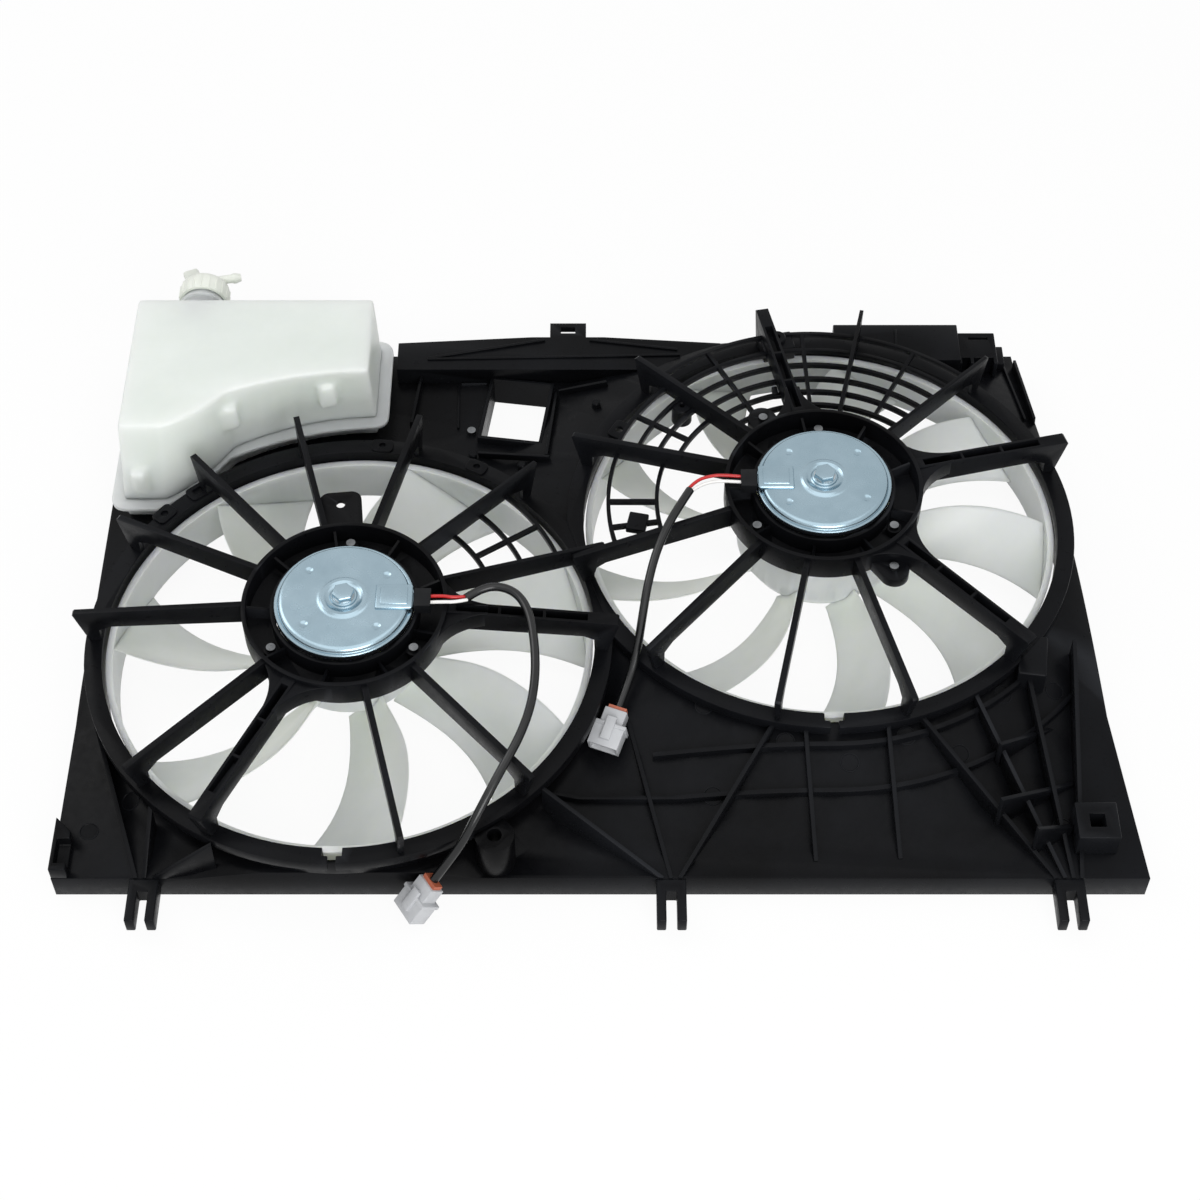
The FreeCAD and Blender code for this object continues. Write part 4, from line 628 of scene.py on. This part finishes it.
def makeEndPlate(side):
    facts = fans[side]
    plate = turnedForm(side + "Plate", endPlate["section"], standing(*facts["place"]), steps=96)
    dents = []
    for angle in facts["dimples"]:
        x, y = onPlate(side, angle)
        bpy.ops.mesh.primitive_uv_sphere_add(
            segments=24, ring_count=16, radius=endPlate["dimpleRadius"] / 1000,
            location=(x / 1000, y / 1000, endPlate["dimpleHeight"] / 1000))
        dents.append(bpy.context.active_object)
    dent = joined(dents)
    applyModifier(plate, "BOOLEAN", object=dent, operation="DIFFERENCE", solver="EXACT")
    bpy.data.objects.remove(dent)
    lead = facts["lead"]
    bulges = [boxForm(side + name, size, standing(*onPlate(side, lead), height, lead), edge)
              for name, size, height, edge in endPlate["bulge"]]
    radius = endPlate["bossRadius"]
    angles = [math.radians(60 * step + endPlate["bossTurn"]) for step in range(6)]
    hexagon = [Vector((radius * math.cos(angle), radius * math.sin(angle))) for angle in angles]
    boss = flatForm(side + "Boss", [hexagon], *endPlate["bossHeights"], endPlate["bossEdge"],
                    standing(*facts["place"]))
    plate = dress(joined([plate, *bulges, boss]), "shroud", "zinc_plate", smoothTo=28.0)
    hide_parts(side + "_end_plate")


for fanSide in ("left", "right"):
    makeBlades(fanSide)
    makeEndPlate(fanSide)
print("wheels and motors finished")


# The reservoir, in millimetres. Its walls lean in toward the top by the slope, each by its own share
# of it, and its near wall bows through points at shares of its width and of its rise
tank = {
    "left": -384, "right": -171, "back": 248, "nearLeft": 66, "nearRight": 153,
    "slope": 18, "leanLeft": 0.72, "leanRight": 0.6, "leanNear": 1.5, "leanBay": 9,
    "bow": ((0.17, 0), (0.30, 0.24), (0.42, 0.62), (0.70, 0.90)),
    "inset": 10, "foot": 22.2, "seam": 39, "flange": 4, "top": 110,
    "cornerReach": (12, 16, 14, 14),
    "tabs": (((13, 9, 25), (-291, 127.5, 82), 18), ((14, 9, 25), (-216, 150.5, 82), 8),
             ((12, 9, 24), (-359, 78, 62), 0)),
    "tabEdge": 2.0,
    "rimEdge": 1.2,
    "remesh": 2.2,
    "soften": 14,
    "neck": (-324, 84),
    "neckSection": ((14, 218), (17, 218), (17, 243), (18.8, 244), (18.8, 246), (17, 247),
                    (17, 261.4), (16.4, 262), (14.6, 262), (14, 261.4), (14, 218)),
}


def bowed(first, middle, last, steps=10):
    # Points of the bow through three points, the last left to the next run
    pull = Vector(middle) * 2 - (Vector(first) + Vector(last)) / 2
    return bowPoints(Vector(first), pull, Vector(last), [step / steps for step in range(steps)])


def tankOutline(inset, atTop=False):
    lean = tank["slope"] if atTop else 0
    left = tank["left"] + inset + lean * tank["leanLeft"]
    right = tank["right"] - inset - lean * tank["leanRight"]
    back = tank["back"] - inset - lean
    nearLeft = tank["nearLeft"] + inset + lean * tank["leanNear"]
    nearRight = tank["nearRight"] + inset - lean / tank["leanBay"]
    across = right - left
    rise = nearRight - nearLeft
    knee, sag, turn, swell = [(left + across * far, nearLeft + rise * up) for far, up in tank["bow"]]
    outline = bowed(knee, sag, turn) + bowed(turn, swell, (right, nearRight))
    return outline + [Vector((right, nearRight)), Vector((right, back)), Vector((left, back)),
                      Vector((left, nearLeft))]


def makeReservoir():
    # Blow-moulded halves: soft corners, three shallow embossed tabs, a seam flange and the neck
    seamTop = tank["seam"] + tank["flange"]
    levels = [(tank["foot"], tankOutline(tank["inset"])), (seamTop, tankOutline(tank["inset"])),
              (tank["top"], tankOutline(0, True))]
    around = len(levels[0][1])
    points = [(*point, height) for height, outline in levels for point in outline]
    faces = [tuple(range(around)), tuple(range(2 * around, 3 * around))]
    for row in (0, around):
        for mark in range(around):
            beside = (mark + 1) % around
            faces.append((row + mark, row + beside, row + around + beside, row + around + mark))
    body = meshPiece("reservoirBody", points, faces)
    tabs = [boxForm("tab", size, standing(*place, turn), tank["tabEdge"])
            for size, place, turn in tank["tabs"]]
    body = joined([body, *tabs])
    body.data.remesh_voxel_size = tank["remesh"] / 1000
    bpy.ops.object.voxel_remesh()
    applyModifier(body, "SMOOTH", factor=0.5, iterations=tank["soften"])
    rim = tankOutline(0)
    reaches = [0] * (len(rim) - 4) + list(tank["cornerReach"])
    corners = [(*point, reach) for point, reach in zip(rim, reaches)]
    flange = flatForm("reservoirFlange", [roundedOutline(corners)], tank["seam"], seamTop,
                      tank["rimEdge"], standing(0, 0))
    x, z = tank["neck"]
    neck = turnedForm("reservoirNeck", tank["neckSection"], facing((x, 0, z), (0, 1, 0)))
    piece = dress(joined([body, flange, neck]), "shroud", "tank_plastic", smoothTo=45.0)
    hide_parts("reservoir_tank")


# The filler cap, in millimetres: skirt, crown and plug as a half section along the neck's axis, its
# grip ribs, the thumb tab beside the crown and the hose nipple with its flared end
filler = {
    "section": ((0, 278.5), (5.4, 278.5), (6.6, 277.5), (7, 272.5), (9, 270.6), (14, 269),
                (17.6, 267.8), (19.4, 266), (20, 263.5), (20, 251), (19.5, 250), (17.4, 250),
                (17.4, 262.3), (13.7, 262.3), (13.7, 250.6), (13.1, 250), (0, 250)),
    "ribs": 20, "ribSize": (1.6, 13, 1.6), "ribRadius": 19.9, "ribMiddle": 257.2, "ribEdge": 0.5,
    "thumbSize": (13, 20, 7), "thumbBeside": 11, "thumbAlong": 278, "thumbTurn": 24,
    "thumbEdge": 2.6,
    "spout": ((0, -4), (3.6, -4), (3.6, 20), (4.3, 22), (4.3, 24), (3.6, 26), (3.2, 28),
              (1.8, 28.2), (1.8, 14), (0, 14)),
    "spoutAlong": 275, "spoutTo": (1, 0.2, 0.0),
}


def makeCap():
    x, z = tank["neck"]
    cap = turnedForm("reservoirCapMoulded", filler["section"], facing((x, 0, z), (0, 1, 0)))
    hub = facing((x, filler["ribMiddle"], z), (0, 1, 0))
    outward = Matrix.Translation((filler["ribRadius"] / 1000, 0, 0))
    along = Matrix.Rotation(math.radians(90), 4, "X")
    turns = [math.tau * step / filler["ribs"] for step in range(filler["ribs"])]
    grips = [boxForm("capRib", filler["ribSize"], hub @ Matrix.Rotation(turn, 4, "Z") @ outward @ along,
                     filler["ribEdge"]) for turn in turns]
    thumb = boxForm("capThumb", filler["thumbSize"],
                    standing(x - filler["thumbBeside"], filler["thumbAlong"], z, filler["thumbTurn"]),
                    filler["thumbEdge"])
    spout = turnedForm("capSpout", filler["spout"],
                       facing((x, filler["spoutAlong"], z), filler["spoutTo"]), steps=28)
    cap = dress(joined([cap, *grips, thumb, spout]), "cap", "cap_plastic")
    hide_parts("reservoir_cap")


makeReservoir()
makeCap()
print("reservoir finished")


def onPanel(x, y):
    # The place on the shroud's face straight below, and how it leans
    panel = bpy.data.objects["shroud_panelMoulded"]
    _, place, lean, _ = panel.ray_cast(Vector((x / 1000, y / 1000, 0.2)), Vector((0, 0, -1)))
    return place * 1000, lean


def shroudTrim(parts):
    dress(joined(parts), "shroud", "shroud_plastic")


# The round marks that the mould's pins leave on the panel: places, then the step round each
pinMarks = {
    "places": ((-366, -217), (-338, -195), (76, -125), (134, -155), (81, -190), (180, -170),
               (222, -150), (261, -160), (296, -113), (336, -104), (331, -213)),
    "section": ((0, 0.12), (6.0, 0.12), (6.3, 0.5), (6.9, 0.5), (7.2, -0.3), (0, -0.3)),
}


def makeEjectorMarks():
    shroudTrim([turnedForm("pinMark", pinMarks["section"], facing(*onPanel(x, y)), steps=40)
                for x, y in pinMarks["places"]])


# Pads with round holes on the rings' flanges, and the slot beside the reservoir
slotHole = roundedOutline([(-10, -3, 2), (10, -3, 2), (10, 3, 2), (-10, 3, 2)])
ringPads = (
    ("padLeftA", (-336, 46), (18, 13), circleOutline(2.9)),
    ("padLeftB", (-172, 116), (17, 12), circleOutline(2.6)),
    ("padLeftC", (-97, 94), (17, 12), circleOutline(2.6)),
    ("padRight", (15, 133), (18, 13), circleOutline(2.9)),
    ("slotLeft", (-308, 73), (30, 13), slotHole),
)
padRule = {"heights": (58.5, 61.8), "corner": 4, "edge": 0.5}


def makeRingPads():
    pads = []
    for name, (x, y), (long, wide), hole in ringPads:
        side = "left" if x < 0 else "right"
        angle = math.degrees(math.atan2(y - fans[side]["place"][1], x - fans[side]["place"][0]))
        corner = padRule["corner"]
        outline = roundedOutline([(-long / 2, -wide / 2, corner), (long / 2, -wide / 2, corner),
                                  (long / 2, wide / 2, corner), (-long / 2, wide / 2, corner)])
        pads.append(flatForm(name, [outline, hole], *padRule["heights"], padRule["edge"],
                             standing(x, y, 0, angle + 90)))
    shroudTrim(pads)


# Turned bosses on the right fan's spokes and guard: half section and place
turnedBosses = {
    "roundBoss": (((0, 62), (7.2, 62), (8, 63), (8, 79), (7.2, 80), (2.6, 80), (2.2, 79.4),
                   (2.2, 74), (0, 74)), (64.6, 142)),
    "spokePin": (((0, 70), (6.5, 70), (6.5, 84.6), (5.8, 85.4), (2.4, 85.4), (2.0, 84.8),
                  (2.0, 80), (0, 80)), (143, 212)),
}
# Blocks on the same spokes: size, middle, turn and edge
bossBlocks = {
    "spokeBlock": ((26, 19, 14), (143, 211, 74), 11, 1.5),
    "hookBar": ((22, 4.5, 4), (147.5, 153, 80), 8, 0.9),
    "hookLeft": ((4.5, 9, 5), (138.5, 155.5, 80.5), 8, 1.2),
    "hookRight": ((4.5, 9, 5), (156.5, 155.5, 80.5), 8, 1.2),
    "spokeEnd": ((21, 36, 38), (319, -88, 41), -8, 1.5),
}


def makeBosses():
    parts = [turnedForm(name, section, standing(*place))
             for name, (section, place) in turnedBosses.items()]
    parts += [boxForm(name, size, standing(*middle, turn), edge)
              for name, (size, middle, turn, edge) in bossBlocks.items()]
    shroudTrim(parts)


# Ribs round the window, over the top band, along the right edge and on the duct: start, end,
# thickness and rise, and the height they stand on where that isn't the panel's face
ridges = (
    ((-146, 238), (-154, 169), 2.6, 8), ((-33, 206.5), (6.5, 206.5), 2.4, 6),
    ((-36.5, 204), (-43.5, 126), 2.4, 5), ((-98, 139), (-40, 123), 2.4, 5),
    ((-117, 216), (-116, 168), 1.8, 2.5), ((-115, 217), (-94, 217), 1.8, 2.5),
    ((-143, 231), (66, 236), 2.2, 1.6, 38), ((-143, 232), (-46, 253), 2.2, 1.6, 38),
    ((-9, 253), (64, 242), 2.2, 1.6, 38), ((345, 238), (350, 158), 2.4, 7),
    ((335, 237), (343, 160), 2.0, 3), ((243, 243), (242, 225), 2.0, 2, 60),
)
ridgeRule = {"sunk": 1.5, "edge": 0.5}
# Small pins on the panel: places, and the half section above the face
panelPins = {
    "places": ((-63, 121), (-103, 137), (-3.5, 180)),
    "section": ((0, -1), (3.6, -1), (3.4, 5), (2.6, 5.8), (0, 5.8)),
}


def ridge(start, end, thick, rise, base=None):
    ends = [Vector((x, y, base if base else onPanel(x, y)[0][2])) for x, y in (start, end)]
    run = ends[1] - ends[0]
    middle = Vector((0, (rise - ridgeRule["sunk"]) / 2, run.length / 2)) / 1000
    return boxForm("ridge", (thick, rise + ridgeRule["sunk"], run.length),
                   facing(ends[0], run) @ Matrix.Translation(middle), ridgeRule["edge"])


def makeRidges():
    parts = [ridge(*facts) for facts in ridges]
    for x, y in panelPins["places"]:
        base = onPanel(x, y)[0][2]
        section = [(radius, base + height) for radius, height in panelPins["section"]]
        parts.append(turnedForm("pin", section, standing(x, y), steps=24))
    parts.append(boxForm("guardBlock", (15, 17, 6), standing(28, 21, 80, -12), 1.2))
    shroudTrim(parts)


# Curved webs where the channel spokes run into the motor cups: from the cup's wall at an angle
# beside the spoke to a point along it, then back inside spoke and cup
web = {
    "spokes": {"left": (358, 242.5), "right": (101, 16.3, 316)},
    "cupRadius": 75, "beside": 24, "pull": (77, 9), "end": (104, 4.6),
    "back": ((104, 3), (72.9, 3), (71.4, 15.2), (66.7, 29.7)),
    "heights": (85.0, 99.5), "edge": 0.6, "steps": 10,
}


def makeSpokeWebs():
    beside = math.radians(web["beside"])
    start = Vector((web["cupRadius"] * math.cos(beside), web["cupRadius"] * math.sin(beside)))
    shares = [step / web["steps"] for step in range(web["steps"] + 1)]
    outline = bowPoints(start, Vector(web["pull"]), Vector(web["end"]), shares)
    outline += [Vector(point) for point in web["back"]]
    shroudTrim([flatForm("web", [[(x, y * hand) for x, y in outline]], *web["heights"], web["edge"],
                         standing(*fans[side]["place"], 0, angle))
                for side, angles in web["spokes"].items() for angle in angles for hand in (-1, 1)])


makeEjectorMarks()
makeRingPads()
makeBosses()
makeRidges()
makeSpokeWebs()
print("small fittings finished")


# The studio: a white sweep, one wide soft light above, a key from the upper left and a fill
studio = {
    "floorSize": 8.0,
    "floorShade": 0.07,
    "top": {"place": (0.0, -0.3, 2.4), "size": 2.6, "power": 17.0},
    "key": {"place": (-1.9, 0.9, 1.9), "size": 1.4, "power": 14.0},
    "fill": {"place": (0.5, -2.2, 1.3), "size": 1.6, "power": 42.0},
    "world": 0.46,
}


def seenRays(tree):
    # Rays that show the white background: from the camera, off metal and through clear pieces
    rays = addNode(tree, "ShaderNodeLightPath")
    mirrored = addNode(tree, "ShaderNodeMath", {"operation": "MAXIMUM"},
                       {0: rays.outputs["Is Glossy Ray"], 1: rays.outputs["Is Transmission Ray"]})
    seen = addNode(tree, "ShaderNodeMath", {"operation": "MAXIMUM"},
                   {0: rays.outputs["Is Camera Ray"], 1: mirrored.outputs[0]})
    return seen.outputs[0]


def makeFloor():
    deselectAll()
    bpy.ops.mesh.primitive_plane_add(size=studio["floorSize"], location=(0, 0, -0.0005))
    floor = bpy.context.active_object
    floor.name = "studioFloor"
    material, tree, _ = newMaterial("studioPaper")
    paper = addNode(tree, "ShaderNodeBsdfDiffuse", {"Color": hexColour("#f4f4f4")})
    glow = addNode(tree, "ShaderNodeEmission", {"Color": (1, 1, 1, 1), "Strength": 1.0})
    share = addNode(tree, "ShaderNodeMath", {"operation": "MULTIPLY", 1: 1 - studio["floorShade"]},
                    {0: seenRays(tree)})
    mixed = addNode(tree, "ShaderNodeMixShader", {},
                    {0: share.outputs[0], 1: paper.outputs[0], 2: glow.outputs[0]})
    closeMaterial(tree, mixed)
    floor.data.materials.append(material)


def makeLight(name):
    facts = studio[name]
    data = bpy.data.lights.new(name + "Light", "AREA")
    data.shape = "SQUARE"
    data.size = facts["size"]
    data.energy = facts["power"]
    light = placeInScene(name + "Light", data)
    light.location = facts["place"]
    light.rotation_euler = (-Vector(facts["place"])).to_track_quat("-Z", "Y").to_euler()


def makeWorld():
    world = bpy.data.worlds.new("studioWorld")
    world.use_nodes = True
    tree = world.node_tree
    tree.nodes.clear()
    strength = addNode(tree, "ShaderNodeMapRange", {"To Min": studio["world"], "To Max": 1.0},
                       {"Value": seenRays(tree)})
    sky = addNode(tree, "ShaderNodeBackground", {"Color": (1, 1, 1, 1)},
                  {"Strength": strength.outputs["Result"]})
    addNode(tree, "ShaderNodeOutputWorld", links={"Surface": sky.outputs[0]})
    bpy.context.scene.world = world


makeFloor()
for lightName in ("top", "key", "fill"):
    makeLight(lightName)
makeWorld()
bpy.context.scene.view_settings.view_transform = "Standard"
print("studio lit")
